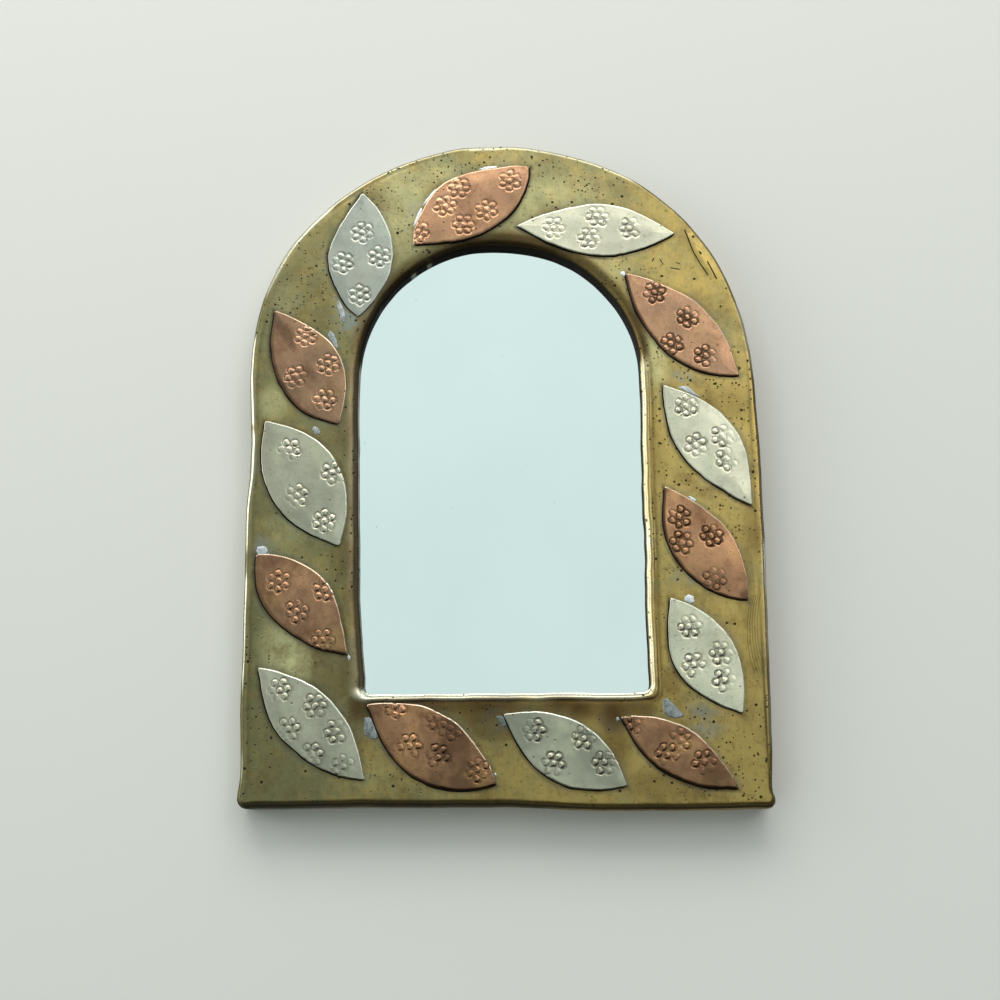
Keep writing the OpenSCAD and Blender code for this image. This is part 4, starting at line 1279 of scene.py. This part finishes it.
brass_sheet()
for number in range(len(LEAVES)):
    leaf_piece(number)
solder_runs()
bent_clips()
rolled_strap()
dress("mirror_glass", mirror_finish())
dress("mirror_coating", paint_finish())
dress("packing_card", card_finish())
dress("back_board", board_finish())
dress("hanger_rivets", hanger_brass)
dress("hanger_ring", hanger_brass)


# Stage: a pale surface that the frame's back lies on, open behind the object so that its back is lit too

# Where the surface lies, how far it reaches under the frame's edge and how far it spreads, in millimetres.
# Then the room's tones: level, high up, in its dark places and as the camera sees it, and how deep the dark
# place on the left is.
STAGE_OUT = -0.05
STAGE_UNDER = 0.6
STAGE_REACH = 4000
ROOM_PALE = (210, 230, 228)
ROOM_HIGH = (218, 238, 236)
ROOM_DARK = (64, 60, 52)
ROOM_SEEN = (222, 227, 226)
ROOM_LEFT_SHADE = 0.75


def backdrop():
    """The surface, from just under the frame's edge outward. From behind it can be looked through."""
    material = bpy.data.materials.new("pale_surface")
    material.use_nodes = True
    material.node_tree.nodes.clear()
    made = Shading(material.node_tree)
    front = made.node("BsdfDiffuse", {"Color": srgb(244, 238, 232)})
    rear = made.node("BsdfTransparent", {})
    either = made.node("MixShader", {0: made.node("NewGeometry", {}, "Backfacing"), 1: front, 2: rear})
    end = made.tree.nodes.new("ShaderNodeOutputMaterial")
    made.give(end.inputs["Surface"], either)
    hole, away = outline(HALF_W, 0, SIDE_H, 0, CORNER_R)
    hole = hole - STAGE_UNDER * away
    middle = np.array([0, FRAME_H / 2])
    turn = np.arctan2(*(hole - middle).T[::-1])
    far = middle + STAGE_REACH * np.column_stack([np.cos(turn), np.sin(turn)])
    flat = np.concatenate([hole, far])
    points = np.column_stack([flat, np.full(len(flat), STAGE_OUT)])
    faces = grid_faces(2, len(hole), wrap_columns=True)[:, ::-1]
    mesh = bpy.data.meshes.new("pale_surface")
    mesh.from_pydata(stand(points).tolist(), [], faces.tolist())
    mesh.materials.append(material)
    surface = bpy.data.objects.new("pale_surface", mesh)
    bpy.context.scene.collection.objects.link(surface)


def soft_lamp(name, place, size, energy):
    """A lamp of the given size that looks at the middle of the object."""
    light = bpy.data.lights.new(name, "AREA")
    light.shape = "RECTANGLE"
    light.size, light.size_y = size
    light.energy = energy
    lamp = bpy.data.objects.new(name, light)
    lamp.location = place
    lamp.rotation_euler = (-Vector(place)).to_track_quat("-Z", "Y").to_euler()
    bpy.context.scene.collection.objects.link(lamp)


def pale_room():
    """A pale room whose low front and right side are darker, as metal needs. The camera sees it pale."""
    world = bpy.data.worlds.new("pale_room")
    bpy.context.scene.world = world
    world.use_nodes = True
    made = Shading(world.node_tree)
    way = made.node("TexCoord", {}, "Generated")
    x, y, z = (made.node("SeparateXYZ", {0: way}, axis) for axis in range(3))
    level = made.plus(z, made.span(x, -0.3, -0.65, 0.0, 0.55))
    low = made.span(level, -0.14, -0.36)
    right = made.times(made.span(x, 0.4, 0.62), made.span(x, 1.0, 0.86, 0.45, 1.0))
    right = made.times(right, made.times(made.span(z, 0.75, 0.35), made.span(y, 0.3, -0.1)))
    front = made.span(y, 0.35, 0.0)
    left = made.times(made.span(x, -0.13, -0.25), made.span(x, -0.62, -0.5))
    left = made.times(left, made.times(made.span(z, -0.12, 0.0), made.span(z, 0.65, 0.5)))
    left = made.times(left, made.times(front, ROOM_LEFT_SHADE))
    dark = made.most(made.times(low, front), made.most(right, left))
    pale = made.mix(made.span(z, 0.12, 0.4), srgb(*ROOM_PALE), srgb(*ROOM_HIGH))
    room = made.mix(dark, pale, srgb(*ROOM_DARK))
    seen = made.mix(made.node("LightPath", {}, "Is Camera Ray"), room, srgb(*ROOM_SEEN))
    background = world.node_tree.nodes["Background"]
    made.give(background.inputs["Color"], seen)
    background.inputs["Strength"].default_value = 1.0


backdrop()
soft_lamp("top_lamp", (-0.1, -0.6, 0.78), (1.0, 0.5), 4.5)
soft_lamp("left_lamp", (-0.95, -0.3, 0.3), (0.4, 0.7), 2.0)
soft_lamp("right_fill", (0.6, -1.0, 0.4), (0.5, 0.5), 1.2)
soft_lamp("rear_lamp", (-0.5, 0.9, 0.6), (0.8, 0.8), 6.0)
pale_room()


# Camera, at the photograph's angle: roll and tilt in radians, place in metres, lens and film in millimetres

ROLL = 0.0088
TILT = 0.2353
CAMERA_PLACE = (-0.002158, -0.43223, -0.11298)
LENS = 52
FILM_W = 36

roll_cos = math.cos(ROLL)
roll_sin = math.sin(ROLL)
right_way = Vector((roll_cos, 0, -roll_sin))
up_way = Vector((roll_sin * math.cos(TILT), -math.sin(TILT), roll_cos * math.cos(TILT)))
ahead = Vector((roll_sin * math.sin(TILT), math.cos(TILT), roll_cos * math.sin(TILT)))
turned = Matrix((right_way, up_way, -ahead)).transposed().to_4x4()
lens = bpy.data.cameras.new("photo_camera")
lens.lens = LENS
lens.sensor_width = FILM_W
lens.clip_start = 0.01
lens.clip_end = 50
camera = bpy.data.objects.new("photo_camera", lens)
camera.matrix_world = Matrix.Translation(CAMERA_PLACE) @ turned
bpy.context.scene.collection.objects.link(camera)
bpy.context.scene.camera = camera
bpy.context.scene.view_settings.view_transform = "Standard"
